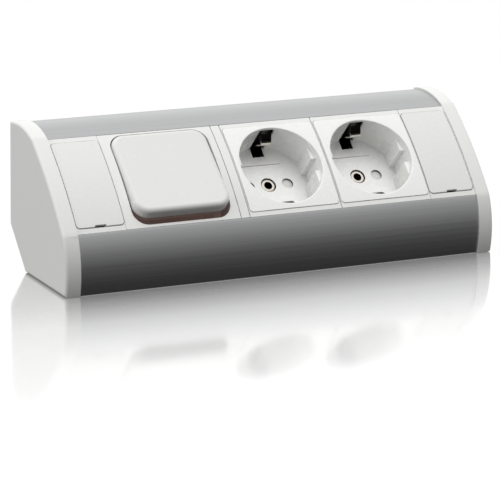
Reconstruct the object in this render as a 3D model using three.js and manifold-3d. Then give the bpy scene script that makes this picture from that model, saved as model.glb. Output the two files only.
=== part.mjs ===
// Corner-mounted desk power strip: a rocker switch and two earthed socket outlets on the sloping face
// of an aluminium extrusion, closed by two plastic end caps with lift-off screw covers.
// Millimetres. +X runs along the strip, +Y towards the wall behind it, +Z up from the desk.
import * as THREE from "three";
import { mergeVertices } from "three/addons/utils/BufferGeometryUtils.js";
import Module from "manifold-3d";

const wasm = await Module();
wasm.setup();

// ---------------------------------------------------------------- driving dimensions
// The cross-section is mirrored about the 45 degree line through the corner of desk and wall.
// Its points are given as (out, up) distances from that corner.
const LENGTH = 208.4;
const LEG = 63.05; // reach of the flat underside, and height of the flat back
const CHAMFER = 17.8; // corner cut off at 45 degrees, where the supply cable comes in
const FACE_NEAR = 25.85; // the sloping face runs from (60.45, 25.85) to (25.85, 60.45)
const FACE_FAR = 60.45;
const WING_BULGE = 2.2; // how far the front and top strips arch out from their chord
const FACE_BULGE = 1.8; // how far the sloping face arches out from its chord
const WALL = 1.8; // wall of the extrusion
const BACK_Y = 32.465; // the wall plane; the strip is centred on y = 0
const CAP_BAND = 6.95; // width of the end cap that shows beside the aluminium
const CAP_PROUD = 0.8; // how far the cap stands out from the aluminium strips
const CAP_EDGE = 1.4; // rounding of the cap's outer edge
const CAP_SIDE_WALL = 2.5;
const SEAM = 0.3; // gap between neighbouring face plates
const REST_GAP = 0.15; // gap between a plate and what it rests on

// The sloping face, in its own frame: x along the strip, y up the slope from its middle line, z outwards.
const PLATE_HALF = 23.75; // half height of every face plate
const PLATE_DEPTH = 2.1; // depth of a face plate below the chord
const LEDGE_HALF = 23.0; // half width of the slot between the two ledges of the extrusion
const LEDGE_THICK = 1.6;

const COVER = { x: 85.65, width: 22.1, height: 43, corner: 1.8, proud: 0.35, sunk: 0.95 };
const SWITCH_X = -46.6;
const SWITCH_Y = 0.4; // the rocker sits this far above the middle line
const SWITCH_OPENING = { y: 0.2, width: 46.5, height: 45.8, corner: 7 };
const COVER_POCKET_HALF = 9.4; // half width of the pocket under a cover, which its legs grip
const SWITCH_FRAME = { left: -73.9, right: -20.1 };
const MODULE_PITCH = 45;
const FIRST_MODULE_X = 6.85;
const SOCKET_X = [FIRST_MODULE_X, FIRST_MODULE_X + MODULE_PITCH];
const WELL_Y = 0.3; // the wells sit this far above the middle line
const INSERT = { width: 43.75, height: 43.5, corner: 1.6, proud: 0.25, sunk: 0.95 };

// Socket outlet, type F: a round well for the plug, two pin holes and two side earth contacts.
const WELL_RADIUS = 19.5;
const WELL_WALL = 1.2;
const WELL_FLOOR = -15.6;
const WELL_FLOOR_THICK = 2.4;
const PIN_SPACING = 19;
const PIN_HOLE_RADIUS = 2.8;
const GUIDE = { flat: 16.9, groove: 3, top: -1.4 }; // flat guide blocks with a groove between them
const CLIP_SLOT_HALF = 3.75;
const CLIP_WIDTH = 5;
const SOCKET_BODY_TOP = WELL_FLOOR - WELL_FLOOR_THICK - SEAM;
const SOCKET_BODY_BOTTOM = -33;
const EARTH_TERMINAL_Y = 14.6;

// The shutter behind the pin holes: two pads joined by a bridge, in a pocket under the well's floor.
const SHUTTER = { inner: 5, outer: 13.2, low: -3.4, bridge: 4.8, high: 6.8, bottom: -17.9, top: -16.8 };
const SHUTTER_TRAVEL = 6.2;
const SHUTTER_PLAY = 0.3;
const SCREW_BOSS_RADIUS = 4.6;
const CENTRE_SCREW = { head: 3.3, neck: 2.4, shank: 1.6, socket: 1.8 };
const NECK_HOLE = CENTRE_SCREW.neck + 0.25;

// Rocker switch.
const ROCKER = {
  width: 45.2, height: 42.8, corner: 6.5, edge: 2, top: 12.8, thick: 5, plate: 1.8, wall: 1.3,
};
const PIVOT_Z = -9; // depth of the rocker's pivot below the chord of the face
const ROCKER_TILT = 6; // degrees each way from the middle; stored with the lower half out
const AXLE_RADIUS = 1.45;
const LEVER_Z = -14;
const LEVER_TILT = 8;

const degrees = THREE.MathUtils.degToRad;

// ---------------------------------------------------------------- materials
const plastic = (color) => new THREE.MeshStandardMaterial({ color, roughness: 0.35, metalness: 0 });
const metal = (color, roughness) => new THREE.MeshStandardMaterial({ color, roughness, metalness: 1 });
const MATERIALS = {
  anodised: metal(0x9a9da1, 0.42),
  capWhite: plastic(0xeeeeea),
  frameWhite: plastic(0xf0f0ec),
  insertWhite: plastic(0xe6e6e1),
  rockerWhite: plastic(0xe9e9e5),
  innerGrey: plastic(0xb9bab8),
  innerBrown: plastic(0xa58a7e),
  zincSteel: metal(0xb7bac0, 0.35),
  nickel: metal(0xc9c6be, 0.25),
  brass: metal(0xc8a355, 0.35),
  copper: metal(0xb87348, 0.4),
  rubberBlack: plastic(0x1d1d1e),
  wireBrown: plastic(0x5a3420),
  wireBlue: plastic(0x2a55a8),
  wireGreen: plastic(0x7ea82c),
};

// ---------------------------------------------------------------- solids
function toSolid(geometry) {
  const bare = geometry.clone();
  const wasCut = geometry.attributes.uv === undefined;
  bare.deleteAttribute("normal");
  bare.deleteAttribute("uv");
  const merged = wasCut ? bare : mergeVertices(bare, 1e-4);
  return new wasm.Manifold(
    new wasm.Mesh({
      numProp: 3,
      vertProperties: new Float32Array(merged.attributes.position.array),
      triVerts: new Uint32Array(merged.index.array),
    }),
  );
}

function toGeometry(solid) {
  const mesh = solid.getMesh();
  const geometry = new THREE.BufferGeometry();
  geometry.setAttribute("position", new THREE.BufferAttribute(mesh.vertProperties, 3));
  geometry.setIndex(new THREE.BufferAttribute(mesh.triVerts, 1));
  geometry.computeVertexNormals();
  return geometry;
}

const join = (...geometries) => toGeometry(geometries.map(toSolid).reduce((a, b) => a.add(b)));
const cut = (geometry, ...tools) =>
  toGeometry(tools.map(toSolid).reduce((a, b) => a.subtract(b), toSolid(geometry)));
const common = (a, b) => toGeometry(toSolid(a).intersect(toSolid(b)));

function box([x0, x1], [y0, y1], [z0, z1]) {
  const geometry = new THREE.BoxGeometry(x1 - x0, y1 - y0, z1 - z0);
  return geometry.translate((x0 + x1) / 2, (y0 + y1) / 2, (z0 + z1) / 2);
}

const about = (centre, half) => [centre - half, centre + half];

// A round bar along the named axis, from one coordinate on that axis to another.
function rod(axis, radius, [from, to], [a, b] = [0, 0], sides = 14) {
  const geometry = new THREE.CylinderGeometry(radius, radius, to - from, sides);
  geometry.translate(0, (from + to) / 2, 0);
  if (axis === "x") return geometry.rotateZ(-Math.PI / 2).translate(0, a, b);
  if (axis === "y") return geometry.translate(a, 0, b);
  return geometry.rotateX(Math.PI / 2).translate(a, b, 0);
}

function roundedRectangle(width, height, radius, x = 0, y = 0) {
  const right = x + width / 2 - radius;
  const left = x - width / 2 + radius;
  const high = y + height / 2 - radius;
  const low = y - height / 2 + radius;
  const shape = new THREE.Shape();
  shape.absarc(right, high, radius, 0, Math.PI / 2);
  shape.absarc(left, high, radius, Math.PI / 2, Math.PI);
  shape.absarc(left, low, radius, Math.PI, 1.5 * Math.PI);
  shape.absarc(right, low, radius, 1.5 * Math.PI, 2 * Math.PI);
  return shape;
}

// A plan shape raised along z.
function prism(shape, [z0, z1], curveSegments = 4) {
  const options = { depth: z1 - z0, bevelEnabled: false, curveSegments };
  return new THREE.ExtrudeGeometry(shape, options).translate(0, 0, z0);
}

// A solid turned about the z axis from a list of (radius, height) points.
function turned(points, sides) {
  const profile = points.map(([r, z]) => new THREE.Vector2(r, z));
  return new THREE.LatheGeometry(profile, sides).rotateX(Math.PI / 2);
}

// A strip of constant thickness along a bent line in the y-z plane, as wide as the x range.
function ribbon(points, thickness, [x0, x1]) {
  const line = points.map(([y, z]) => new THREE.Vector2(y, z));
  const sides = line.map((point, i) => {
    const before = line[Math.max(i - 1, 0)];
    const after = line[Math.min(i + 1, line.length - 1)];
    const along = after.clone().sub(before).normalize();
    return new THREE.Vector2(-along.y, along.x).multiplyScalar(thickness / 2);
  });
  const outer = line.map((point, i) => point.clone().add(sides[i]));
  const inner = line.map((point, i) => point.clone().sub(sides[i])).reverse();
  return extrudeAlongX(new THREE.Shape([...outer, ...inner]), [x0, x1]);
}

// A shape drawn in the y-z plane, raised along +x.
function extrudeAlongX(shape, [x0, x1]) {
  const options = { depth: x1 - x0, bevelEnabled: false, curveSegments: 6 };
  const geometry = new THREE.ExtrudeGeometry(shape, options);
  const turn = new THREE.Matrix4().makeBasis(
    new THREE.Vector3(0, 1, 0),
    new THREE.Vector3(0, 0, 1),
    new THREE.Vector3(1, 0, 0),
  );
  return geometry.applyMatrix4(turn).translate(x0, 0, 0);
}

// ---------------------------------------------------------------- cross-section
const FACE_CORNER = new THREE.Vector2(FACE_FAR, FACE_NEAR);
const FOOT = new THREE.Vector2(LEG, 0);

// The circle that arches from one point to another with the given bulge, its centre on the left of the way.
function archCircle(from, to, bulge) {
  const chord = from.distanceTo(to);
  const radius = (chord * chord / 4 + bulge * bulge) / (2 * bulge);
  const along = to.clone().sub(from).normalize();
  const centre = from.clone().add(to).multiplyScalar(0.5);
  centre.addScaledVector(new THREE.Vector2(-along.y, along.x), radius - bulge);
  return { centre, radius };
}

const WING_ARCH = archCircle(FOOT, FACE_CORNER, WING_BULGE);
const FACE_ARCH = archCircle(FACE_CORNER, new THREE.Vector2(FACE_NEAR, FACE_FAR), FACE_BULGE);

// Where two circles cross, on the side of the face corner.
function circlesCross(a, radiusA, b, radiusB) {
  const between = b.clone().sub(a);
  const distance = between.length();
  between.divideScalar(distance);
  const along = (distance * distance + radiusA * radiusA - radiusB * radiusB) / (2 * distance);
  const across = Math.sqrt(radiusA * radiusA - along * along);
  const sideways = new THREE.Vector2(-between.y, between.x);
  const crossings = [across, -across].map((offset) =>
    a.clone().addScaledVector(between, along).addScaledVector(sideways, offset));
  return crossings.sort((p, q) => p.distanceTo(FACE_CORNER) - q.distanceTo(FACE_CORNER))[0];
}

function arcPoints(centre, from, to, steps) {
  const start = from.clone().sub(centre).angle();
  const end = to.clone().sub(centre).angle();
  const turn = THREE.MathUtils.euclideanModulo(end - start + Math.PI, 2 * Math.PI) - Math.PI;
  const radius = from.distanceTo(centre);
  return Array.from({ length: steps + 1 }, (_, i) => {
    const angle = start + (turn * i) / steps;
    return new THREE.Vector2(centre.x + radius * Math.cos(angle), centre.y + radius * Math.sin(angle));
  });
}

// The outline moved inwards by the given distances: base for back, chamfer and underside, wing, and face.
function sectionOutline({ base = 0, wing = 0, face = 0 }) {
  const wingRadius = WING_ARCH.radius - wing;
  const faceRadius = FACE_ARCH.radius - face;
  const rise = base - WING_ARCH.centre.y;
  const foot = new THREE.Vector2(WING_ARCH.centre.x + Math.sqrt(wingRadius ** 2 - rise ** 2), base);
  const corner = circlesCross(WING_ARCH.centre, wingRadius, FACE_ARCH.centre, faceRadius);
  const middle = FACE_ARCH.centre.clone().addScalar(faceRadius * Math.SQRT1_2);
  const half = [
    new THREE.Vector2(CHAMFER + base * (Math.SQRT2 - 1), base),
    ...arcPoints(WING_ARCH.centre, foot, corner, 7),
    ...arcPoints(FACE_ARCH.centre, corner, middle, 4).slice(1),
  ];
  const mirrored = half.slice(0, -1).reverse().map(({ x, y }) => new THREE.Vector2(y, x));
  return new THREE.Shape([...half, ...mirrored]);
}

// A cross-section shape raised along the strip, its ends rounded off where an edge radius is given.
function sectionBar(insets, [x0, x1], edge = 0) {
  const geometry = new THREE.ExtrudeGeometry(sectionOutline(insets), {
    depth: x1 - x0 - 2 * edge,
    bevelEnabled: edge > 0,
    bevelThickness: edge,
    bevelSize: edge,
    bevelOffset: -edge,
    bevelSegments: 2,
  });
  const turn = new THREE.Matrix4().makeBasis(
    new THREE.Vector3(0, -1, 0),
    new THREE.Vector3(0, 0, 1),
    new THREE.Vector3(-1, 0, 0),
  );
  return geometry.applyMatrix4(turn).translate(x1 - edge, BACK_Y, 0);
}

const FACE_MIDDLE = (FACE_NEAR + FACE_FAR) / 2;
const FACE_TO_WORLD = new THREE.Matrix4()
  .makeRotationX(Math.PI / 4)
  .setPosition(0, BACK_Y - FACE_MIDDLE, FACE_MIDDLE);
const onFace = (geometry) => geometry.clone().applyMatrix4(FACE_TO_WORLD);

// In the face's frame, everything under the arched face surface moved out by the given height.
function underFace(height, [x0, x1], low = -20) {
  const radius = FACE_ARCH.radius + height;
  const halfAngle = Math.asin(28 / radius);
  const shape = new THREE.Shape();
  shape.moveTo(-28, low);
  shape.lineTo(28, low);
  shape.absarc(0, FACE_BULGE - FACE_ARCH.radius, radius, Math.PI / 2 - halfAngle, Math.PI / 2 + halfAngle);
  const options = { depth: x1 - x0, bevelEnabled: false, curveSegments: 8 };
  const turn = new THREE.Matrix4().makeBasis(
    new THREE.Vector3(0, 1, 0),
    new THREE.Vector3(0, 0, 1),
    new THREE.Vector3(1, 0, 0),
  );
  return new THREE.ExtrudeGeometry(shape, options).applyMatrix4(turn).translate(x0, 0, 0);
}

const WHOLE_FACE = about(0, LENGTH / 2);

// A face plate with the given plan: flat underneath, arched on top.
const archedPlate = (shape, low, height) =>
  common(prism(shape, [low, 8]), underFace(height, WHOLE_FACE));

// A plate with the given plan that follows the arch on both sides.
const archedSheet = (shape, low, high) =>
  cut(archedPlate(shape, -8, high), underFace(low, WHOLE_FACE));

// ---------------------------------------------------------------- extrusion and end caps
const INNER_END = LENGTH / 2 - CAP_BAND;
const FIXING_X = 85; // screws into desk or wall, reached under the covers
const FIXING_Y = -8;
const FIXING_Z = 45;
const CAP_SCREW_X = 94.2;
const CAP_SCREW_Y = -16;
const CAP_SCREW_Z = 49;
const INLET_X = 82;
const INLET_RADIUS = 5.4;
const CHAMFER_FACE_Z = -(FACE_MIDDLE * 2 - CHAMFER) * Math.SQRT1_2;

function aluminiumProfile() {
  const length = about(0, INNER_END - REST_GAP);
  const ledgeBottom = PLATE_DEPTH + REST_GAP + LEDGE_THICK;
  const hollow = sectionBar({ base: WALL, wing: WALL, face: ledgeBottom }, WHOLE_FACE);
  const slot = onFace(box(WHOLE_FACE, about(0, LEDGE_HALF), [-10, 12]));
  const rebate = onFace(box(WHOLE_FACE, about(0, PLATE_HALF + REST_GAP), [-PLATE_DEPTH - REST_GAP, 12]));
  const holes = [-1, 1].flatMap((side) => [
    rod("z", 2.3, [-1, 3], [side * FIXING_X, FIXING_Y]),
    rod("y", 2.3, [BACK_Y - 3, BACK_Y + 1], [side * FIXING_X, FIXING_Z]),
    rod("z", 1.65, [-1, 3], [side * CAP_SCREW_X, CAP_SCREW_Y]),
    rod("z", 2.9, [-1, 0.9], [side * CAP_SCREW_X, CAP_SCREW_Y]),
    rod("y", 1.65, [BACK_Y - 3, BACK_Y + 1], [side * CAP_SCREW_X, CAP_SCREW_Z]),
    rod("y", 2.9, [BACK_Y - 0.9, BACK_Y + 1], [side * CAP_SCREW_X, CAP_SCREW_Z]),
  ]);
  const inlet = onFace(rod("z", INLET_RADIUS, [CHAMFER_FACE_Z - 1, CHAMFER_FACE_Z + 3], [INLET_X, 0]));
  const bond = onFace(rod("z", 1.3, [CHAMFER_FACE_Z + 0.6, CHAMFER_FACE_Z + 4], [BOND_X, BOND_Y]));
  return cut(sectionBar({}, length), hollow, slot, rebate, ...holes, inlet, bond);
}

function endCapRight() {
  const outerEnd = LENGTH / 2;
  const band = cut(
    sectionBar({ wing: -CAP_PROUD, face: -CAP_PROUD }, [INNER_END - 4, outerEnd], CAP_EDGE),
    box([INNER_END - 6, INNER_END], [-60, 60], [-10, 90]),
    sectionBar({ base: 3, wing: 2.6, face: 2.6 }, [INNER_END - 4, outerEnd - CAP_SIDE_WALL]),
  );
  const spigotEnd = INNER_END - 6;
  const spigot = cut(
    sectionBar({ base: 2.1, wing: 2.1, face: 5.2 }, [spigotEnd, outerEnd - 2]),
    sectionBar({ base: 3.7, wing: 3.7, face: 6.8 }, [spigotEnd - 1, outerEnd - CAP_SIDE_WALL]),
  );
  const bosses = [
    box([spigotEnd, outerEnd - 2], about(CAP_SCREW_Y, 3), [2.2, 8]),
    box([spigotEnd, outerEnd - 2], [BACK_Y - 8, BACK_Y - 2.2], about(CAP_SCREW_Z, 3)),
  ];
  const seatInner = SOCKET_X[1] + MODULE_PITCH / 2;
  const seat = archedPlate(
    roundedRectangle(INNER_END + 1 - seatInner, 2 * PLATE_HALF, 0.2, (INNER_END + 1 + seatInner) / 2),
    -PLATE_DEPTH,
    0,
  );
  const coverPlan = roundedRectangle(
    COVER.width + 2 * SEAM, COVER.height + 2 * SEAM, COVER.corner + SEAM, COVER.x, 0);
  const recess = cut(prism(coverPlan, [-8, 8]), underFace(-COVER.sunk - REST_GAP, WHOLE_FACE));
  const pocket = box(about(COVER.x, COVER_POCKET_HALF), about(0, 18), [-13, 10]);
  const screwHoles = [
    rod("z", 1.2, [1, 10], [CAP_SCREW_X, CAP_SCREW_Y]),
    rod("y", 1.2, [BACK_Y - 9, BACK_Y - 1], [CAP_SCREW_X, CAP_SCREW_Z]),
  ];
  return cut(join(band, spigot, ...bosses, onFace(seat)), onFace(recess), onFace(pocket), ...screwHoles);
}

function screwCover() {
  const plan = roundedRectangle(COVER.width, COVER.height, COVER.corner, 0, 0);
  const sheet = archedSheet(plan, -COVER.sunk, COVER.proud);
  const leg = (side) => box(about(side * (COVER_POCKET_HALF - 0.9), 0.6), about(0, 6), [-5, 1.4]);
  const barb = (side) => box(about(side * (COVER_POCKET_HALF - 0.5), 0.3), about(0, 6), [-4.8, -3]);
  const notch = box([-4, 4], [-COVER.height / 2 - 1, -COVER.height / 2 + 0.7], [-8, 8]);
  return cut(join(sheet, leg(-1), leg(1), barb(-1), barb(1)), notch);
}

// A countersunk screw along -z with its head face at z = 0.
function countersunkScrew(headRadius, headDepth, shankRadius, length) {
  const profile = [
    [0, 0],
    [headRadius, 0],
    [headRadius, -0.3],
    [shankRadius, -headDepth],
    [shankRadius, -length + 0.8],
    [0, -length],
  ];
  const body = turned(profile.reverse(), 16);
  const slot = (a, b) => box(about(0, a), about(0, b), [-headDepth * 0.7, 1]);
  const arm = headRadius * 0.6;
  return cut(body, slot(arm, 0.35), slot(0.35, arm));
}

// ---------------------------------------------------------------- face plates
// Two legs at the ends of a plate that reach through the slot and hook under the ledges.
function snapLegs(x, halfWidth) {
  return [-1, 1].map((side) => join(
    box(about(x, halfWidth), about(side * 22.1, 0.6), [-5.8, -PLATE_DEPTH + 0.5]),
    box(about(x, halfWidth), about(side * 22.9, 0.8), [-5.8, -4.2]),
  ));
}

function switchFrame() {
  const { left, right } = SWITCH_FRAME;
  const plan = roundedRectangle(right - left, 2 * PLATE_HALF, 0.2, (left + right) / 2);
  const { y, width, height, corner } = SWITCH_OPENING;
  const opening = prism(roundedRectangle(width, height, corner, SWITCH_X, y), [-12, 12], 8);
  const sides = [-1, 1].flatMap((side) => {
    const wallX = SWITCH_X + side * (width / 2 + 0.85);
    const shelf = (z0, z1) => box(about(wallX - side * 1.1, 1.1), about(SWITCH_Y, 12), [z0, z1]);
    return [
      box(about(wallX, 0.7), about(0, 22.6), [-13, -PLATE_DEPTH + 0.5]),
      shelf(-8.8, -7.6),
      shelf(-12.2, -10.8),
      ...snapLegs(SWITCH_X + side * 24.6, 1.2),
    ];
  });
  return join(cut(archedPlate(plan, -PLATE_DEPTH, 0), opening), ...sides);
}

function spacerStrip() {
  const left = SWITCH_FRAME.right + SEAM;
  const right = SOCKET_X[0] - MODULE_PITCH / 2 - SEAM / 2;
  const plan = roundedRectangle(right - left, 2 * PLATE_HALF, 0.2, (left + right) / 2);
  return join(archedPlate(plan, -PLATE_DEPTH, 0), ...snapLegs((left + right) / 2, 1.6));
}

function socketFrame() {
  const plan = roundedRectangle(MODULE_PITCH - SEAM, 2 * PLATE_HALF, 0.2);
  const collar = box(about(0, 22.2), about(0, 22.6), [-21, -PLATE_DEPTH + 0.5]);
  const seatPlan = roundedRectangle(
    INSERT.width + 2 * REST_GAP, INSERT.height + 2 * REST_GAP, INSERT.corner, 0, 0);
  const seat = cut(prism(seatPlan, [-8, 8]), underFace(-INSERT.sunk - REST_GAP, WHOLE_FACE));
  const bore = box(about(0, 21), about(WELL_Y, 21.1), [-22, 10]);
  return cut(join(archedPlate(plan, -PLATE_DEPTH, 0), collar, ...snapLegs(0, 6)), seat, bore);
}

// ---------------------------------------------------------------- socket outlet
const WELL_SIDES = 48;

function socketInsert() {
  const plate = archedSheet(
    roundedRectangle(INSERT.width, INSERT.height, INSERT.corner), -INSERT.sunk, INSERT.proud);
  const floorLow = WELL_FLOOR - WELL_FLOOR_THICK;
  const centre = [0, WELL_Y];
  const cup = common(
    rod("z", WELL_RADIUS + WELL_WALL, [floorLow, 6], centre, WELL_SIDES),
    underFace(0, WHOLE_FACE),
  );
  const well = rod("z", WELL_RADIUS, [WELL_FLOOR, 12], centre, WELL_SIDES);
  const guideBlock = (side) =>
    common(
      rod("z", WELL_RADIUS + 0.5, [WELL_FLOOR - 0.5, GUIDE.top], centre, WELL_SIDES),
      box(side > 0 ? [GUIDE.flat, 30] : [-30, -GUIDE.flat], [-30, 30], [-30, 10]),
    );
  const groove = box([-30, 30], about(WELL_Y, GUIDE.groove), [WELL_FLOOR, 1]);
  const guides = [-1, 1].map((side) =>
    cut(guideBlock(side), common(groove, rod("z", WELL_RADIUS, [-20, 5], centre, WELL_SIDES))));
  const pinHoles = [-1, 1].map((side) =>
    rod("z", PIN_HOLE_RADIUS, [-20, -10], [(side * PIN_SPACING) / 2, WELL_Y], 24));
  const wallSlot = box(about(0, CLIP_SLOT_HALF), about(WELL_Y, 24), [WELL_FLOOR, -0.3]);
  const slotRing = cut(wallSlot, rod("z", WELL_RADIUS - 0.6, [-30, 5], centre, WELL_SIDES));
  const floorSlots = [-1, 1].map((side) =>
    box(about(0, CLIP_WIDTH / 2 + 0.4), about(WELL_Y + side * 18, 3.2), [-20, WELL_FLOOR + 1]));
  const screwHead = rod("z", 3.6, [WELL_FLOOR - 1.6, -10], centre, 28);
  const screwHole = rod("z", NECK_HOLE, [-20, -10], centre, 20);
  const { outer, low, high, top } = SHUTTER;
  const shutterPocket = cut(
    box(
      about(0, outer + SHUTTER_PLAY),
      [WELL_Y + low - SHUTTER_PLAY, WELL_Y + high + SHUTTER_TRAVEL + SHUTTER_PLAY],
      [floorLow - 1, top + 0.1],
    ),
    rod("z", SCREW_BOSS_RADIUS, [floorLow - 2, 0], centre, 28),
  );
  return cut(
    join(cut(join(plate, cup), well), ...guides),
    ...pinHoles, slotRing, ...floorSlots, screwHead, screwHole, shutterPocket,
  );
}

// The shutter closes both pin holes and slides up the slope when the pins push it aside.
function shutter() {
  const { inner, outer, low, bridge, high, bottom, top } = SHUTTER;
  const pad = (side) =>
    box(side < 0 ? [-outer, -inner] : [inner, outer], [WELL_Y + low, WELL_Y + high], [bottom, top]);
  return join(pad(-1), pad(1), box(about(0, inner + 1), [WELL_Y + bridge, WELL_Y + high], [bottom, top]));
}

const CONTACT_TERMINAL_Y = -14.4;
const TERMINAL_Z = [-29, -22];
const BORE_SPREAD = 2; // the two wire bores of a terminal lie this far either side of its middle
const WIRE_RADIUS = 1.1;
const BORE_RADIUS = 1.45;

function socketBase() {
  const body = box(about(0, 20.6), about(WELL_Y, 20.6), [SOCKET_BODY_BOTTOM, SOCKET_BODY_TOP]);
  const chamber = (side) =>
    box(about((side * PIN_SPACING) / 2, 4.6), [-18.6, 5], [TERMINAL_Z[0] - SEAM, 0]);
  const wireHole = (x, y) => rod("z", BORE_RADIUS, [-40, -20], [x, y]);
  const screwHole = (x, [y0, y1]) => rod("y", 2.2, [y0, y1], [x, -25.5]);
  const cuts = [-1, 1].flatMap((side) => {
    const x = (side * PIN_SPACING) / 2;
    return [
      chamber(side),
      wireHole(x - BORE_SPREAD, CONTACT_TERMINAL_Y),
      wireHole(x + BORE_SPREAD, CONTACT_TERMINAL_Y),
      screwHole(x, [-25, -16]),
    ];
  });
  const clipGroove = box(about(0, 4), about(WELL_Y, 21), [SOCKET_BODY_TOP - 1.3, 0]);
  const earthChamber = box(about(0, 4.4), [10.6, 19], [TERMINAL_Z[0] - SEAM, 0]);
  return cut(
    body, ...cuts, clipGroove, earthChamber,
    wireHole(-BORE_SPREAD, EARTH_TERMINAL_Y), wireHole(BORE_SPREAD, EARTH_TERMINAL_Y),
    screwHole(0, [16, 25]),
    rod("z", 1.9, [-31, 0], [0, WELL_Y]),
    rod("z", NECK_HOLE, [-24, 0], [0, WELL_Y], 20),
  );
}

// A brass terminal with two wire bores from below and a screw hole from the side.
function terminal(x, y, screwSide) {
  const [low, high] = TERMINAL_Z;
  const block = box(about(x, 4), about(y, 3.4), [low, high]);
  const bore = (offset) => rod("z", BORE_RADIUS, [low - 1, low + 5], [x + offset, y]);
  const screwHole = rod("y", 1.45, screwSide < 0 ? [y - 5, y] : [y, y + 5], [x, -25.5]);
  return cut(block, bore(-BORE_SPREAD), bore(BORE_SPREAD), screwHole);
}

// Two sprung leaves that grip a plug pin, on a bridge that ends in a screw terminal.
function pinContact(side) {
  const x = (side * PIN_SPACING) / 2;
  const leaf = (offset) => box(about(x + offset, 0.35), about(WELL_Y, 3), [-29, -19.5]);
  const bridge = box(about(x, 3.4), [CONTACT_TERMINAL_Y + 3, WELL_Y + 3], [-29, -28.2]);
  return join(leaf(-2.9), leaf(2.9), bridge, terminal(x, CONTACT_TERMINAL_Y, -1));
}

// One strip that runs under the well and comes up on both sides as bowed side contacts.
function earthClip() {
  const strapZ = SOCKET_BODY_TOP - 0.7;
  const arm = [
    [0, strapZ], [17.2, strapZ], [18.5, -17.2], [19, -12.4],
    [15.5, -6.6], [15.9, -4.6], [18.6, -2.2],
  ];
  const upper = arm.map(([y, z]) => [WELL_Y + y, z]);
  const lower = arm.map(([y, z]) => [WELL_Y - y, z]);
  const strip = (line) => ribbon(line, 0.6, about(0, CLIP_WIDTH / 2));
  const plate = box(about(0, 3.6), about(WELL_Y, 6), [strapZ - 0.3, strapZ + 0.3]);
  const stem = box(about(0, 2.2), [13, 16], [TERMINAL_Z[1] - 1, strapZ]);
  const joined = join(strip(upper), strip(lower.reverse()), plate, stem, terminal(0, EARTH_TERMINAL_Y, 1));
  return cut(joined, rod("z", NECK_HOLE, [-21, -10], [0, WELL_Y], 20));
}

// The pan-headed screw in the middle of the well, with a deep round socket down its neck.
function centreScrew() {
  const { head, neck, shank, socket } = CENTRE_SCREW;
  const top = WELL_FLOOR - 0.35;
  const profile = [
    [0, top - 13], [shank, top - 12], [shank, top - 7], [neck, top - 6.6], [neck, top - 1.1],
    [head, top - 1.1], [head, top - 0.4], [head - 0.4, top], [socket, top], [socket, top - 6], [0, top - 6],
  ];
  return turned(profile, 24).translate(0, WELL_Y, 0);
}

// A grub screw along y with a driver slot in its outer end.
function terminalScrew([y0, y1], outerEnd) {
  const slotAt = outerEnd === y0 ? [y0 - 1, y0 + 0.7] : [y1 - 0.7, y1 + 1];
  return cut(rod("y", 1.3, [y0, y1], [0, 0], 12), box([-2, 2], slotAt, [-0.25, 0.25]));
}

// ---------------------------------------------------------------- rocker switch, about its own middle
const SWITCH_BODY = { half: 20.5, top: -9, bottom: -27, wall: 1.8, floor: 1.6 };
const WEB_X = 13;
const SWITCH_TERMINAL_Z = [-25.1, -19];
const RIVET_Y = 9; // where the lever's contact rivet meets the fixed contact
const CARRIER = { low: 4, wall: 1.6, plate: 1.4 };
const HUB = { half: 11, depth: 4, low: 3 };
const PLUNGER_TOP = 2.4;
const SPRING_LENGTH = 4.4;

// The rocker in its own frame: x along the axle, z out of the face, origin on the axle.
// The white cap is a hollow slab with rounded edges.
function rocker() {
  const { width, height, corner, top, thick, edge, plate, wall } = ROCKER;
  const low = top - thick;
  const slab = new THREE.ExtrudeGeometry(roundedRectangle(width, height, corner), {
    depth: thick - edge,
    bevelThickness: edge,
    bevelSize: edge,
    bevelOffset: -edge,
    bevelSegments: 3,
    curveSegments: 6,
  });
  slab.translate(0, 0, low);
  const belowSlab = box(about(0, 40), about(0, 40), [low - 10, low]);
  const inside = roundedRectangle(width - 2 * wall, height - 2 * wall, corner - wall);
  return cut(slab, belowSlab, prism(inside, [0, top - plate], 6));
}

// The carrier under the cap: a tray with a hub that holds the axle and the plunger.
function rockerCarrier() {
  const { width, height, corner, top, plate, wall } = ROCKER;
  const inset = wall + 0.2;
  const high = top - plate - 0.2;
  const outline = roundedRectangle(width - 2 * inset, height - 2 * inset, corner - inset);
  const tray = prism(outline, [CARRIER.low, high], 6);
  const skin = inset + CARRIER.wall;
  const inside = roundedRectangle(width - 2 * skin, height - 2 * skin, corner - skin);
  const ceiling = high - CARRIER.plate;
  const block = box(about(0, HUB.half), about(0, HUB.depth), [-HUB.low, ceiling + 0.4]);
  const relief = (side) => box(about(side * 6.5, 2.3), about(0, HUB.depth + 1), [-HUB.low - 1, ceiling]);
  const axleBore = rod("x", AXLE_RADIUS + 0.2, [-20, 20]);
  const axleStop = box(about(0, 2.6), about(0, 3), [-3, 3]);
  const plungerBore = rod("z", 2, [-HUB.low - 1, PLUNGER_TOP + SPRING_LENGTH + 0.6]);
  return cut(
    join(cut(tray, prism(inside, [0, ceiling])), cut(block, relief(-1), relief(1))),
    cut(axleBore, axleStop),
    plungerBore,
  );
}

function rockerStub(side) {
  return rod("x", AXLE_RADIUS, side < 0 ? [-14.6, -3.2] : [3.2, 14.6]);
}

function plunger() {
  const tip = LEVER_Z - PIVOT_Z + 0.5;
  const profile = [
    [0, tip], [0.8, tip + 0.2], [1.3, tip + 0.8], [1.5, tip + 1.6],
    [1.7, tip + 2.5], [1.7, PLUNGER_TOP], [0, PLUNGER_TOP],
  ];
  return turned(profile, 16);
}

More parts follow.
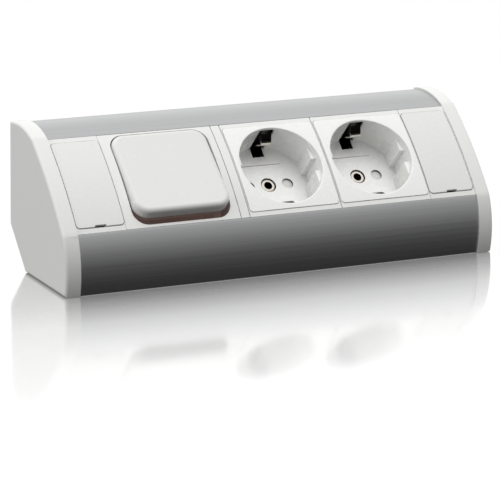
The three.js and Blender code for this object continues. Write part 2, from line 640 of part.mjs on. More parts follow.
function plungerSpring() {
  const turns = 4;
  const steps = 9 * turns;
  const wireRadius = 0.3;
  const start = PLUNGER_TOP + 0.2 + wireRadius;
  const rise = SPRING_LENGTH - 0.4 - 2 * wireRadius;
  const points = Array.from({ length: steps + 1 }, (_, i) => {
    const angle = (2 * Math.PI * turns * i) / steps;
    return new THREE.Vector3(1.35 * Math.cos(angle), 1.35 * Math.sin(angle), start + (rise * i) / steps);
  });
  return tube(points, wireRadius, steps, 5);
}

function tube(points, radius, steps, sides = 7) {
  const ring = Array.from({ length: sides }, (_, i) => {
    const angle = (2 * Math.PI * i) / sides;
    return new THREE.Vector2(radius * Math.cos(angle), radius * Math.sin(angle));
  });
  return new THREE.ExtrudeGeometry(new THREE.Shape(ring), {
    steps,
    extrudePath: new THREE.CatmullRomCurve3(points, false, "centripetal"),
  });
}

function switchBase() {
  const { half, top, bottom, wall, floor } = SWITCH_BODY;
  const tub = cut(
    box(about(0, half), about(0, half), [bottom, top]),
    box(about(0, half - wall), about(0, half - wall), [bottom + floor, top + 1]),
  );
  const flange = cut(
    prism(roundedRectangle(45.4, 44.4, 6), [top - 1.6, top]),
    box(about(0, half - wall), about(0, half - wall), [top - 3, top + 1]),
  );
  const web = (side) => box(about(side * WEB_X, 1.2), about(0, half - wall + 0.5), [bottom + 1, top]);
  const ear = (side) => box(about(side * WEB_X, 1.2), about(0, 3.2), [top - 1, PIVOT_Z + 3]);
  const body = join(tub, flange, web(-1), web(1), ear(-1), ear(1));
  const wayThrough = box([-18.5, 18.5], [-4.6, 12.8], [bottom + floor, -18.4]);
  const axleHoles = rod("x", AXLE_RADIUS + 0.2, [-20, 20], [0, PIVOT_Z]);
  const wireHole = (x, y) => rod("z", BORE_RADIUS, [bottom - 1, bottom + 3], [x, y]);
  const driverHoles = [rod("y", 1.6, [-21, -4], [15, -22.5]), rod("y", 1.6, [12, 21], [-15, -22.5])];
  return cut(body, wayThrough, axleHoles, wireHole(15, -0.5), wireHole(-15, 8.5), ...driverHoles);
}

// The see-saw contact in its own frame, origin on its pivot: a shallow V with a rivet at each end.
function contactLever() {
  const strip = ribbon([[-RIVET_Y - 1.6, 0.5], [0, -0.1], [RIVET_Y + 1.6, 0.5]], 0.8, [-2.4, 2.4]);
  const rivet = rod("z", 1.5, [-0.7, 0.4], [0, RIVET_Y], 12);
  return join(strip, rivet);
}

function switchTerminal(x, y) {
  const [low, high] = SWITCH_TERMINAL_Z;
  return cut(
    box(about(x, 3.2), about(y, 3.2), [low, high]),
    rod("z", BORE_RADIUS, [low - 1, low + 4.5], [x, y]),
    rod("y", 1.45, y > 4 ? [y, y + 5] : [y - 5, y], [x, -22.5]),
  );
}

// The post under the lever's pivot, with its strip and terminal.
function leverPost() {
  const post = box([-2.4, 2.4], [-1.6, 1.6], [-19.4, LEVER_Z - 1.1]);
  const strip = box([-2.4, 14], [-1.6, 1.6], [-19.8, -18.9]);
  return join(post, strip, switchTerminal(15, -0.5));
}

// The fixed contact under the upper end of the lever.
function fixedContact() {
  const pad = box([-2.4, 2.4], about(RIVET_Y, 2), [-19.4, LEVER_Z - 2.6]);
  const strip = box([-14, 2.4], about(RIVET_Y, 2), [-19.8, -18.9]);
  return join(pad, strip, switchTerminal(-15, 8.5));
}

// ---------------------------------------------------------------- inlet and wiring, in the face's frame
const FLOOR_Z = CHAMFER_FACE_Z + WALL;
const INLET_BLOCK_X = 66;
const BOND_X = -10;
const BOND_Y = 7;
const POLE_PITCH = 7.6;
const POLES = [-POLE_PITCH, 0, POLE_PITCH];

// The rubber bush in the chamfer: flanges on both sides of the wall and a bore for the cable.
function inletGrommet() {
  const outside = CHAMFER_FACE_Z - 1.2;
  const inside = CHAMFER_FACE_Z + WALL;
  const profile = [
    [3.4, outside], [6.6, outside], [7, CHAMFER_FACE_Z - 0.15], [5.2, CHAMFER_FACE_Z - 0.15],
    [5.2, inside + 0.2], [7, inside + 0.2], [6.2, inside + 1.6], [3.4, inside + 1.6], [3.4, outside],
  ];
  return turned(profile, 24).translate(INLET_X, 0, 0);
}

// The three-pole block that joins the supply cores to the strip's own wires.
function inletBlock() {
  const body = box(about(INLET_BLOCK_X, 6.5), about(0, 12), [FLOOR_Z + 0.3, FLOOR_Z + 10.5]);
  const wireBores = POLES.map((y) => rod("x", 1.9, [INLET_BLOCK_X - 8, INLET_BLOCK_X + 8], [y, FLOOR_Z + 5]));
  const screwHoles = POLES.map((y) => rod("z", 1.7, [FLOOR_Z + 5, FLOOR_Z + 12], [INLET_BLOCK_X, y]));
  return cut(body, ...wireBores, ...screwHoles);
}

function inletScrew() {
  const body = rod("z", 1.4, [FLOOR_Z + 6.8, FLOOR_Z + 10], [0, 0], 12);
  return cut(body, box([-2, 2], [-0.25, 0.25], [FLOOR_Z + 9.3, FLOOR_Z + 11]));
}

const wire = (points, steps) =>
  tube(points.map(([x, y, z]) => new THREE.Vector3(x, y, z)), WIRE_RADIUS, steps);

// The level stretches of the wires: height up the slope, and depth below the face.
const LIVE_LANE = [-7.5, -43];
const SWITCHED_LANE = [3.5, -35.8];
const LIVE_LINK_LANE = [-14.4, -40];
const NEUTRAL_LANE = [0, -42];
const EARTH_LANE = [7.6, -40.5];
const WIRE_END_Z = TERMINAL_Z[0] + 1; // a wire ends this deep inside its bore
const BLOCK_LEFT = INLET_BLOCK_X - 4;
const BLOCK_WIRE_Z = FLOOR_Z + 5;

// A wire that ends in a ring lug under the screw that earths the extrusion.
function bondWire() {
  const x = SOCKET_X[0] - BORE_SPREAD;
  const lead = wire([
    [x, EARTH_TERMINAL_Y, WIRE_END_Z],
    [x, EARTH_TERMINAL_Y, -32.5],
    [x, EARTH_TERMINAL_Y, -36],
    [x - 6, BOND_Y + 2, -42.5],
    [BOND_X + 5, BOND_Y, FLOOR_Z + 1.6],
    [BOND_X + 3.2, BOND_Y, FLOOR_Z + 1.5],
  ], 18);
  const lug = rod("z", 3.6, [FLOOR_Z + 0.3, FLOOR_Z + 1.1], [BOND_X, BOND_Y], 16);
  const hole = rod("z", 1.5, [FLOOR_Z - 1, FLOOR_Z + 4], [BOND_X, BOND_Y], 12);
  return cut(join(lead, lug), hole);
}

function bondScrew() {
  const head = FLOOR_Z + 1.3;
  const tip = CHAMFER_FACE_Z + 0.8;
  const profile = [
    [0, tip], [1.1, tip], [1.1, head], [2.6, head], [2.6, head + 1.2], [2.1, head + 1.8], [0, head + 1.8],
  ];
  const body = turned(profile, 14).translate(BOND_X, BOND_Y, 0);
  return cut(body, box(about(BOND_X, 1.9), about(BOND_Y, 0.35), [head + 1, head + 3]));
}

function wires() {
  const [first, second] = SOCKET_X;
  const pin = PIN_SPACING / 2;
  const terminalY = CONTACT_TERMINAL_Y;
  const up = (x, y) => [[x, y, -36], [x, y, -32.5], [x, y, WIRE_END_Z]];
  const link = (x0, x1, y, lane) => [
    ...up(x0, y).reverse(),
    [x0 + 5, lane[0], lane[1]],
    [x1 - 5, lane[0], lane[1]],
    ...up(x1, y),
  ];
  const supply = (pole, x, y, lane) => [
    [BLOCK_LEFT, pole, BLOCK_WIRE_Z],
    [INLET_BLOCK_X - 9, pole, BLOCK_WIRE_Z],
    [x + 6, lane[0], lane[1]],
    ...up(x, y),
  ];
  return {
    live_supply_wire: ["wireBrown", 32, [
      [BLOCK_LEFT, -POLE_PITCH, BLOCK_WIRE_Z],
      [INLET_BLOCK_X - 9, -POLE_PITCH, BLOCK_WIRE_Z],
      [first + 16, ...LIVE_LANE],
      [SWITCH_X + 24, ...LIVE_LANE],
      [SWITCH_X + 16, SWITCH_Y - 1.5, -35],
      [SWITCH_X + 15, SWITCH_Y - 0.5, -30.5],
      [SWITCH_X + 15, SWITCH_Y - 0.5, -24],
    ]],
    live_switched_wire: ["wireBrown", 32, [
      [SWITCH_X - 15, SWITCH_Y + 8.5, -24],
      [SWITCH_X - 15, SWITCH_Y + 8.5, -30.5],
      [SWITCH_X - 12, SWITCH_Y + 6, -35.5],
      [SWITCH_X + 4, ...SWITCHED_LANE],
      [first + pin - BORE_SPREAD - 10, ...SWITCHED_LANE],
      ...up(first + pin - BORE_SPREAD, terminalY),
    ]],
    live_link_wire: ["wireBrown", 24,
      link(first + pin + BORE_SPREAD, second + pin - BORE_SPREAD, terminalY, LIVE_LINK_LANE)],
    neutral_link_wire: ["wireBlue", 24,
      link(first - pin + BORE_SPREAD, second - pin - BORE_SPREAD, terminalY, NEUTRAL_LANE)],
    neutral_supply_wire: ["wireBlue", 26, supply(0, second - pin + BORE_SPREAD, terminalY, [-2, -38])],
    earth_link_wire: ["wireGreen", 24,
      link(first + BORE_SPREAD, second - BORE_SPREAD, EARTH_TERMINAL_Y, EARTH_LANE)],
    earth_supply_wire: ["wireGreen", 22, [
      [BLOCK_LEFT, POLE_PITCH, BLOCK_WIRE_Z],
      [INLET_BLOCK_X - 8, POLE_PITCH, BLOCK_WIRE_Z],
      ...up(second + BORE_SPREAD, EARTH_TERMINAL_Y),
    ]],
  };
}

// ---------------------------------------------------------------- assembly
const strip = new THREE.Group();
const face = new THREE.Group();
face.applyMatrix4(FACE_TO_WORLD);
strip.add(face);

function place(parent, name, material, geometry) {
  const mesh = new THREE.Mesh(geometry, MATERIALS[material]);
  mesh.name = name;
  parent.add(mesh);
  return mesh;
}

function subGroup(parent, [x, y, z], turnX = 0) {
  const group = new THREE.Group();
  group.position.set(x, y, z);
  group.rotation.x = degrees(turnX);
  parent.add(group);
  return group;
}

function mirroredX(geometry) {
  const mirrored = geometry.clone().applyMatrix4(new THREE.Matrix4().makeScale(-1, 1, 1));
  const index = mirrored.index.array;
  for (let i = 0; i < index.length; i += 3) {
    [index[i + 1], index[i + 2]] = [index[i + 2], index[i + 1]];
  }
  return mirrored;
}

function addShell() {
  place(strip, "aluminium_profile", "anodised", aluminiumProfile());
  const rightCap = endCapRight();
  place(strip, "end_cap_right", "capWhite", rightCap);
  place(strip, "end_cap_left", "capWhite", mirroredX(rightCap));
  for (const [name, side] of [["left", -1], ["right", 1]]) {
    place(subGroup(face, [side * COVER.x, 0, 0]), `screw_cover_${name}`, "insertWhite", screwCover());
    const under = place(strip, `cap_screw_bottom_${name}`, "zincSteel", countersunkScrew(2.6, 0.7, 1.05, 7));
    under.position.set(side * CAP_SCREW_X, CAP_SCREW_Y, 0.15);
    under.rotation.x = Math.PI;
    const behind = place(strip, `cap_screw_back_${name}`, "zincSteel", countersunkScrew(2.6, 0.7, 1.05, 7));
    behind.position.set(side * CAP_SCREW_X, BACK_Y - 0.15, CAP_SCREW_Z);
    behind.rotation.x = -Math.PI / 2;
  }
}

function addSwitch() {
  place(face, "switch_frame", "frameWhite", switchFrame());
  place(face, "spacer_strip", "frameWhite", spacerStrip());
  const body = subGroup(face, [SWITCH_X, SWITCH_Y, 0]);
  place(body, "switch_base", "innerBrown", switchBase());
  place(body, "lever_post", "copper", leverPost());
  place(body, "fixed_contact", "copper", fixedContact());
  const postScrew = place(body, "post_terminal_screw", "zincSteel", terminalScrew([-3.8, -1.4], -3.8));
  postScrew.position.set(15, -0.5, -22.5);
  const fixedScrew = place(body, "fixed_terminal_screw", "zincSteel", terminalScrew([1.4, 3.8], 3.8));
  fixedScrew.position.set(-15, 8.5, -22.5);
  const pivot = subGroup(body, [0, 0, PIVOT_Z], -ROCKER_TILT);
  place(pivot, "switch_rocker", "rockerWhite", rocker());
  place(pivot, "rocker_carrier", "innerBrown", rockerCarrier());
  place(pivot, "rocker_plunger", "innerBrown", plunger());
  place(pivot, "plunger_spring", "zincSteel", plungerSpring());
  place(subGroup(body, [0, 0, PIVOT_Z]), "rocker_axle_left", "zincSteel", rockerStub(-1));
  place(subGroup(body, [0, 0, PIVOT_Z]), "rocker_axle_right", "zincSteel", rockerStub(1));
  place(subGroup(body, [0, 0, LEVER_Z], LEVER_TILT), "contact_lever", "copper", contactLever());
}

function addSocket(index) {
  const n = index + 1;
  const module = subGroup(face, [SOCKET_X[index], 0, 0]);
  place(module, `socket_frame_${n}`, "frameWhite", socketFrame());
  place(module, `socket_insert_${n}`, "insertWhite", socketInsert());
  place(module, `shutter_${n}`, "insertWhite", shutter());
  place(module, `socket_base_${n}`, "innerGrey", socketBase());
  place(module, `earth_clip_${n}`, "nickel", earthClip());
  place(module, `neutral_contact_${n}`, "brass", pinContact(-1));
  place(module, `live_contact_${n}`, "brass", pinContact(1));
  place(module, `centre_screw_${n}`, "nickel", centreScrew());
  for (const [name, side] of [["neutral", -1], ["live", 1]]) {
    const made = terminalScrew([-19.8, -16], -19.8);
    const screw = place(module, `${name}_terminal_screw_${n}`, "zincSteel", made);
    screw.position.set((side * PIN_SPACING) / 2, 0, -25.5);
  }
  const screw = place(module, `earth_terminal_screw_${n}`, "zincSteel", terminalScrew([16.2, 20], 20));
  screw.position.set(0, 0, -25.5);
}

function addInletAndWires() {
  place(face, "cable_inlet_grommet", "rubberBlack", inletGrommet());
  place(face, "inlet_terminal_block", "innerGrey", inletBlock());
  POLES.forEach((y, i) => {
    const screw = place(face, `inlet_screw_${["live", "neutral", "earth"][i]}`, "zincSteel", inletScrew());
    screw.position.set(INLET_BLOCK_X, y, 0);
  });
  place(face, "earth_bond_wire", "wireGreen", bondWire());
  place(face, "earth_bond_screw", "zincSteel", bondScrew());
  for (const [name, [material, steps, points]] of Object.entries(wires())) {
    place(face, name, material, wire(points, steps));
  }
}

addShell();
addSwitch();
SOCKET_X.forEach((_, index) => addSocket(index));
addInletAndWires();

export default strip;
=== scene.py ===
"""Looks for the corner-mounted desk power strip.

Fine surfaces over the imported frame, their materials, and the floor, light and camera.
"""
import math

import bmesh
import bpy
from mathutils import Matrix, Vector


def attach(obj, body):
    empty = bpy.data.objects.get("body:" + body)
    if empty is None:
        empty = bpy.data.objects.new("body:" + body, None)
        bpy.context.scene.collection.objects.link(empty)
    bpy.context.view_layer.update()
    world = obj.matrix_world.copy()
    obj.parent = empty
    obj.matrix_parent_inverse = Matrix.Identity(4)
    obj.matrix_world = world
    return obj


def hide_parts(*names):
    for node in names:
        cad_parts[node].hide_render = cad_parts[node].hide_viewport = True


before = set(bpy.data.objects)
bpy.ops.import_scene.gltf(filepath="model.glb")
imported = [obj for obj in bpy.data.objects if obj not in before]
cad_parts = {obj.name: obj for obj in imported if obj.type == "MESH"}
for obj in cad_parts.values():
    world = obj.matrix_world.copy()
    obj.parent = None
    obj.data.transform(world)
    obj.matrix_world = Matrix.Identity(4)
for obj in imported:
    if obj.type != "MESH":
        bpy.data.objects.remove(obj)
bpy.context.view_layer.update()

# ------------------------------------------------------------------ dimensions, in millimetres
MM = 0.001
LENGTH = 208.4
LEG = 63.05
CHAMFER = 17.8
FACE_NEAR, FACE_FAR = 25.85, 60.45
WING_BULGE, FACE_BULGE = 2.2, 1.8
WALL = 1.8
BACK_Y = 32.465
CAP_BAND, CAP_PROUD, CAP_EDGE, CAP_SIDE_WALL = 6.95, 0.8, 1.4, 2.5
INNER_END = LENGTH / 2 - CAP_BAND
SEAM, REST_GAP = 0.3, 0.15
PLATE_HALF, PLATE_DEPTH = 24.05, 2.1
LEDGE_HALF, LEDGE_THICK = 23.0, 1.6
COVER_X, COVER_WIDTH, COVER_HEIGHT, COVER_CORNER = 85.65, 22.1, 43.0, 1.8
INSERT_PROUD, COVER_PROUD, SUNK = 0.25, 0.35, 0.95
SWITCH_X, SWITCH_Y = -46.6, 0.4
OPENING_Y, OPENING_WIDTH, OPENING_HEIGHT, OPENING_CORNER = 0.2, 46.5, 45.8, 7.0
FRAME_LEFT, FRAME_RIGHT = -74.2, -20.1
MODULE_PITCH = 45.0
SOCKET_X = (6.85, 51.85)
WELL_Y, WELL_RADIUS, WELL_FLOOR, WELL_RIM = 0.3, 19.5, -15.6, 0.5
INSERT_WIDTH, INSERT_HEIGHT, INSERT_CORNER = 43.75, 43.5, 1.6
PIN_SPACING, PIN_HOLE_RADIUS = 19.0, 2.65
SCREW_HEAD, SCREW_NECK, SCREW_SHANK, SCREW_SOCKET = 3.3, 2.4, 1.6, 1.8
GUIDE_FLAT, GUIDE_GROOVE, GUIDE_TOP = 16.9, 3.0, -1.4
CLIP_SLOT_HALF, CLIP_WIDTH, CLIP_SLOT_TOP = 3.75, 5.0, -0.3
ROCKER_WIDTH, ROCKER_HEIGHT, ROCKER_CORNER, ROCKER_ROUND = 45.2, 42.8, 6.5, 2.2
ROCKER_TOP, ROCKER_THICK, PIVOT_Z, ROCKER_TILT = 12.8, 5.0, -9.0, 6.0
ROCKER_PLATE, ROCKER_WALL, CARRIER_LOW, CARRIER_WALL, CARRIER_PLATE = 1.8, 1.3, 4.0, 1.6, 1.4
FACE_MIDDLE = (FACE_NEAR + FACE_FAR) / 2
CHAMFER_FACE_Z = -(FACE_MIDDLE * 2 - CHAMFER) / math.sqrt(2)
FIXING = {"x": 85, "y": -8, "z": 45, "radius": 2.3}
CAP_SCREW = {"x": 94.2, "y": -16, "z": 49, "head": 2.9, "sunk": 0.9, "core": 1.65}
INLET_X, INLET_RADIUS = 82, 5.4
FLOOR_THICK = 2.4
POCKET_HALF_X, POCKET_HALF_Y, POCKET_LOW = 9.4, 18, -13
PRY_SLOT_HALF, PRY_SLOT_REACH, PRY_NOTCH = 2.6, 2.0, 0.8
LEG_Y, LEG_LOW, LEG_HOOK_TOP = 22.1, -5.8, -4.2
PLATE_CORNER = 0.2
FRAME_HOLE_HALF_X, FRAME_HOLE_HALF_Y = 21, 21.1
COLLAR_HALF_X, COLLAR_HALF_Y, COLLAR_LOW = 22.2, 22.6, -21
CLEAR = 12
SHARP_ANGLE = 32
FACE_TURN = math.pi / 4
FACE_TO_ROW = Matrix.Translation((0, BACK_Y - FACE_MIDDLE, FACE_MIDDLE)) @ Matrix.Rotation(FACE_TURN, 4, "X")
ROCKER_TO_ROW = (
    FACE_TO_ROW
    @ Matrix.Translation((SWITCH_X, SWITCH_Y, PIVOT_Z))
    @ Matrix.Rotation(math.radians(-ROCKER_TILT), 4, "X")
)


# ------------------------------------------------------------------ mesh helpers
def new_object(name, bm):
    bmesh.ops.recalc_face_normals(bm, faces=bm.faces)
    mesh = bpy.data.meshes.new(name)
    bm.to_mesh(mesh)
    bm.free()
    obj = bpy.data.objects.new(name, mesh)
    bpy.context.scene.collection.objects.link(obj)
    return obj


def bake(obj):
    """Turns an object's modifiers into its mesh."""
    depsgraph = bpy.context.evaluated_depsgraph_get()
    depsgraph.update()
    mesh = bpy.data.meshes.new_from_object(obj.evaluated_get(depsgraph))
    obj.modifiers.clear()
    obj.data = mesh
    return obj


def boolean(obj, operation, *others):
    for other in others:
        modifier = obj.modifiers.new("boolean", "BOOLEAN")
        modifier.operation = operation
        modifier.solver = "EXACT"
        modifier.object = other
        bake(obj)
        bpy.data.objects.remove(other)
    return obj


def cut(obj, *others):
    return boolean(obj, "DIFFERENCE", *others)


def merge(obj, *others):
    """Puts the other meshes into this one as they are, without joining their solids."""
    bm = bmesh.new()
    bm.from_mesh(obj.data)
    for other in others:
        bm.from_mesh(other.data)
        bpy.data.objects.remove(other)
    bm.to_mesh(obj.data)
    bm.free()
    return obj


def bevel(obj, width, segments=3, angle=40):
    modifier = obj.modifiers.new("bevel", "BEVEL")
    modifier.width = width
    modifier.segments = segments
    modifier.limit_method = "ANGLE"
    modifier.angle_limit = math.radians(angle)
    modifier.use_clamp_overlap = True
    return bake(obj)


def prism(name, points, low, high, axis="z"):
    """A plan outline raised along z, or a (y, z) outline raised along x."""
    bm = bmesh.new()
    place = (lambda a, b, h: (a, b, h)) if axis == "z" else (lambda a, b, h: (h, a, b))
    bottom = [bm.verts.new(place(a, b, low)) for a, b in points]
    top = [bm.verts.new(place(a, b, high)) for a, b in points]
    bm.faces.new(bottom)
    bm.faces.new(top)
    for i in range(len(points)):
        j = (i + 1) % len(points)
        bm.faces.new((bottom[i], bottom[j], top[j], top[i]))
    return new_object(name, bm)


def box(x, y, z, name="box"):
    return prism(name, [(x[0], y[0]), (x[1], y[0]), (x[1], y[1]), (x[0], y[1])], z[0], z[1])


def about(centre, half):
    return (centre - half, centre + half)


def disc_points(radius, x=0.0, y=0.0, sides=48):
    return [
        (x + radius * math.cos(2 * math.pi * i / sides), y + radius * math.sin(2 * math.pi * i / sides))
        for i in range(sides)
    ]


def rod(radius, z, x=0.0, y=0.0, sides=48):
    return prism("rod", disc_points(radius, x, y, sides), z[0], z[1])


def rod_y(radius, y, x, z, sides=32):
    obj = rod(radius, y, 0, 0, sides)
    obj.data.transform(Matrix.Translation((x, 0, z)) @ Matrix.Rotation(-math.pi / 2, 4, "X"))
    return obj


def rounded_rectangle(width, height, radius, x=0.0, y=0.0, steps=12):
    points = []
    corners = ((1, 1, 0), (-1, 1, 90), (-1, -1, 180), (1, -1, 270))
    for side_x, side_y, start in corners:
        centre_x = x + side_x * (width / 2 - radius)
        centre_y = y + side_y * (height / 2 - radius)
        for i in range(steps + 1):
            angle = math.radians(start + 90 * i / steps)
            points.append((centre_x + radius * math.cos(angle), centre_y + radius * math.sin(angle)))
    return points


def loft(name, loops, cap_first=True, cap_last=True):
    """Skins closed loops of points that all have the same count."""
    bm = bmesh.new()
    rings = [[bm.verts.new(point) for point in loop] for loop in loops]
    for ring, following in zip(rings, rings[1:]):
        for i in range(len(ring)):
            j = (i + 1) % len(ring)
            bm.faces.new((ring[i], ring[j], following[j], following[i]))
    if cap_first:
        bm.faces.new(rings[0])
    if cap_last:
        bm.faces.new(rings[-1])
    return new_object(name, bm)


def lathe(name, profile, x=0.0, y=0.0, sides=48):
    """Turns an (r, z) profile about a line along z. Points on the axis close the ends."""
    bm = bmesh.new()
    rings = []
    for r, z in profile:
        count = sides if r > 0 else 1
        rings.append([bm.verts.new((*point, z)) for point in disc_points(r, x, y, sides)[:count]])
    for a, b in zip(rings, rings[1:]):
        for i in range(sides):
            j = (i + 1) % sides
            corners = [a[i % len(a)], a[j % len(a)], b[j % len(b)], b[i % len(b)]]
            bm.faces.new(list(dict.fromkeys(corners)))
    return new_object(name, bm)


# ------------------------------------------------------------------ cross-section
def arch_circle(start, end, bulge):
    chord = (end - start).length
    radius = (chord * chord / 4 + bulge * bulge) / (2 * bulge)
    along = (end - start).normalized()
    centre = (start + end) / 2 + Vector((-along.y, along.x)) * (radius - bulge)
    return centre, radius


FACE_CORNER = Vector((FACE_FAR, FACE_NEAR))
WING_CENTRE, WING_R = arch_circle(Vector((LEG, 0)), FACE_CORNER, WING_BULGE)
FACE_CENTRE, FACE_R = arch_circle(FACE_CORNER, Vector((FACE_NEAR, FACE_FAR)), FACE_BULGE)


def arc_points(centre, start, end, steps):
    a0 = math.atan2(start.y - centre.y, start.x - centre.x)
    a1 = math.atan2(end.y - centre.y, end.x - centre.x)
    radius = (start - centre).length
    angles = [a0 + (a1 - a0) * i / steps for i in range(steps + 1)]
    return [Vector((centre.x + radius * math.cos(a), centre.y + radius * math.sin(a))) for a in angles]


def circles_cross(a, radius_a, b, radius_b):
    between = b - a
    distance = between.length
    between.normalize()
    along = (distance ** 2 + radius_a ** 2 - radius_b ** 2) / (2 * distance)
    across = math.sqrt(radius_a ** 2 - along ** 2)
    sideways = Vector((-between.y, between.x))
    found = [a + between * along + sideways * offset for offset in (across, -across)]
    return min(found, key=lambda p: (p - FACE_CORNER).length)


def section(base=0.0, wing=0.0, face=0.0, wing_steps=28, face_steps=16):
    """The outline as (y, z), moved inwards by the given distances."""
    wing_radius = WING_R - wing
    face_radius = FACE_R - face
    rise = base - WING_CENTRE.y
    foot = Vector((WING_CENTRE.x + math.sqrt(wing_radius ** 2 - rise ** 2), base))
    corner = circles_cross(WING_CENTRE, wing_radius, FACE_CENTRE, face_radius)
    middle = FACE_CENTRE + Vector((1, 1)) * face_radius / math.sqrt(2)
    half = [Vector((CHAMFER + base * (math.sqrt(2) - 1), base))]
    half += arc_points(WING_CENTRE, foot, corner, wing_steps)
    half += arc_points(FACE_CENTRE, corner, middle, face_steps)[1:]
    whole = half + [Vector((p.y, p.x)) for p in reversed(half[:-1])]
    return [(BACK_Y - p.x, p.y) for p in whole]


def section_bar(x, **insets):
    return prism("bar", section(**insets), x[0], x[1], axis="x")


def on_face(obj):
    obj.data.transform(FACE_TO_ROW)
    return obj


def arch(y, height=0.0):
    """Height of the arched face above its chord, with the arch moved out by the given height."""
    return math.sqrt((FACE_R + height) ** 2 - y * y) + FACE_BULGE - FACE_R


def under_face(height, low=-20.0, x=(-LENGTH / 2, LENGTH / 2), steps=40):
    """Everything under the arched face, when the arch is moved out by the given height."""
    reach = 28
    ys = [-reach + 2 * reach * i / steps for i in range(steps + 1)]
    outline = [(-reach, low), (reach, low)] + [(y, arch(y, height)) for y in reversed(ys)]
    return prism("under_face", outline, x[0], x[1], axis="x")


def arched_plate(name, points, low, height):
    return boolean(prism(name, points, low, 8), "INTERSECT", under_face(height))


def arched_sheet(name, points, low, high):
    return cut(arched_plate(name, points, -8, high), under_face(low))


# ------------------------------------------------------------------ materials
def node_material(name):
    material = bpy.data.materials.new(name)
    material.use_nodes = True
    nodes, links = material.node_tree.nodes, material.node_tree.links
    shader = next(n for n in nodes if n.type == "BSDF_PRINCIPLED")
    coordinates = nodes.new("ShaderNodeTexCoord")
    return material, nodes, links, shader, coordinates


def noise(nodes, links, vector, scale, detail=3.0, roughness=0.5):
    node = nodes.new("ShaderNodeTexNoise")
    node.inputs["Scale"].default_value = scale
    node.inputs["Detail"].default_value = detail
    node.inputs["Roughness"].default_value = roughness
    links.new(vector, node.inputs["Vector"])
    return node.outputs["Fac"]


def ramp(nodes, links, value, low, high, positions=(0.3, 0.7)):
    node = nodes.new("ShaderNodeValToRGB")
    for element, position, color in zip(node.color_ramp.elements, positions, (low, high)):
        element.position = position
        element.color = (*color, 1)
    links.new(value, node.inputs["Fac"])
    return node.outputs["Color"]


def spread(nodes, links, value, low, high):
    node = nodes.new("ShaderNodeMapRange")
    node.inputs["From Min"].default_value = 0.3
    node.inputs["From Max"].default_value = 0.7
    node.inputs["To Min"].default_value = low
    node.inputs["To Max"].default_value = high
    links.new(value, node.inputs["Value"])
    return node.outputs["Result"]


def blend(nodes, links, share, tint, other):
    """The tint where the share is 0 and the other colour where it is 1."""
    node = nodes.new("ShaderNodeMix")
    node.data_type = "RGBA"
    links.new(share, node.inputs[0])
    links.new(tint, node.inputs[6])
    node.inputs[7].default_value = (*other, 1)
    return node.outputs[2]


def bump(nodes, links, shader, value, strength, distance):
    node = nodes.new("ShaderNodeBump")
    node.inputs["Strength"].default_value = strength
    node.inputs["Distance"].default_value = distance
    links.new(value, node.inputs["Height"])
    links.new(node.outputs["Normal"], shader.inputs["Normal"])


def offset_along(nodes, links, where, direction, start):
    """Distance along a direction of the face, from the given point on it, in metres."""
    dot = nodes.new("ShaderNodeVectorMath")
    dot.operation = "DOT_PRODUCT"
    links.new(where, dot.inputs[0])
    dot.inputs[1].default_value = direction
    return calculate(nodes, links, "SUBTRACT", dot.outputs["Value"], Vector(direction).dot(start))


def calculate(nodes, links, operation, *values):
    node = nodes.new("ShaderNodeMath")
    node.operation = operation
    for socket, value in zip(node.inputs, values):
        if isinstance(value, (int, float)):
            socket.default_value = value
        else:
            links.new(value, socket)
    return node.outputs["Value"]


def in_shaded_recess(nodes, links, where):
    """Where shade is painted: 1 on the linings of the side contacts' recesses and of the holes in the floor,
    0 elsewhere.
    """
    up = FACE_TO_ROW.to_3x3() @ Vector((0, 1, 0))
    out = FACE_TO_ROW.to_3x3() @ Vector((0, 0, 1))
    middle = FACE_TO_ROW @ Vector((0, WELL_Y, 0)) * MM
    wall_gap, rim_depth, hole_depth = 0.15, 1.5, 0.35
    across = calculate(nodes, links, "ABSOLUTE", offset_along(nodes, links, where, up, middle))
    behind = calculate(nodes, links, "GREATER_THAN", across, (WELL_RADIUS + wall_gap) * MM)
    height = offset_along(nodes, links, where, out, middle)
    deep = calculate(nodes, links, "LESS_THAN", height, -rim_depth * MM)
    in_hole = calculate(nodes, links, "LESS_THAN", height, (WELL_FLOOR - hole_depth) * MM)
    return calculate(nodes, links, "MAXIMUM", calculate(nodes, links, "MULTIPLY", behind, deep), in_hole)


CLOUD_SCALE, PATCH_SCALE, GRAIN_SCALE, WEAR_SCALE = 45, 160, 2600, 700
# Colours painted in as shade: on the insert's recess linings and holes, and on plated metal outside its
# given heights.
SHADED_PLASTIC, PAINTED_SHADE_METAL = (0.02, 0.017, 0.015), (0.03, 0.027, 0.025)


def plastic(name, color, roughness=0.32, spread_by=0.01, grain=0.00001, paint_recess_shade=False, painted_glow=0.0):
    """Moulded plastic: a very slight mottle, roughness that wanders, and a fine eroded texture.

    Painted glow is emission that brightens a moulding lying in shade, standing in for light that does not
    reach it."""
    material, nodes, links, shader, coordinates = node_material(name)
    where = coordinates.outputs["Object"]
    low = tuple(max(c - spread_by, 0) for c in color)
    tint = ramp(nodes, links, noise(nodes, links, where, CLOUD_SCALE, 4), low, color)
    # Painted shade: the recess linings and the holes in the floor are darkened in the colour.
    if paint_recess_shade:
        tint = blend(nodes, links, in_shaded_recess(nodes, links, where), tint, SHADED_PLASTIC)
    links.new(tint, shader.inputs["Base Color"])
    # Painted light: the emission brightens the moulding where little light reaches it.
    links.new(tint, shader.inputs["Emission Color"])
    shader.inputs["Emission Strength"].default_value = painted_glow
    patches = noise(nodes, links, where, PATCH_SCALE, 5, 0.6)
    wander = spread(nodes, links, patches, roughness - 0.015, roughness + 0.02)
    links.new(wander, shader.inputs["Roughness"])
    bump(nodes, links, shader, noise(nodes, links, where, GRAIN_SCALE, 2), 0.08, grain)
    return material


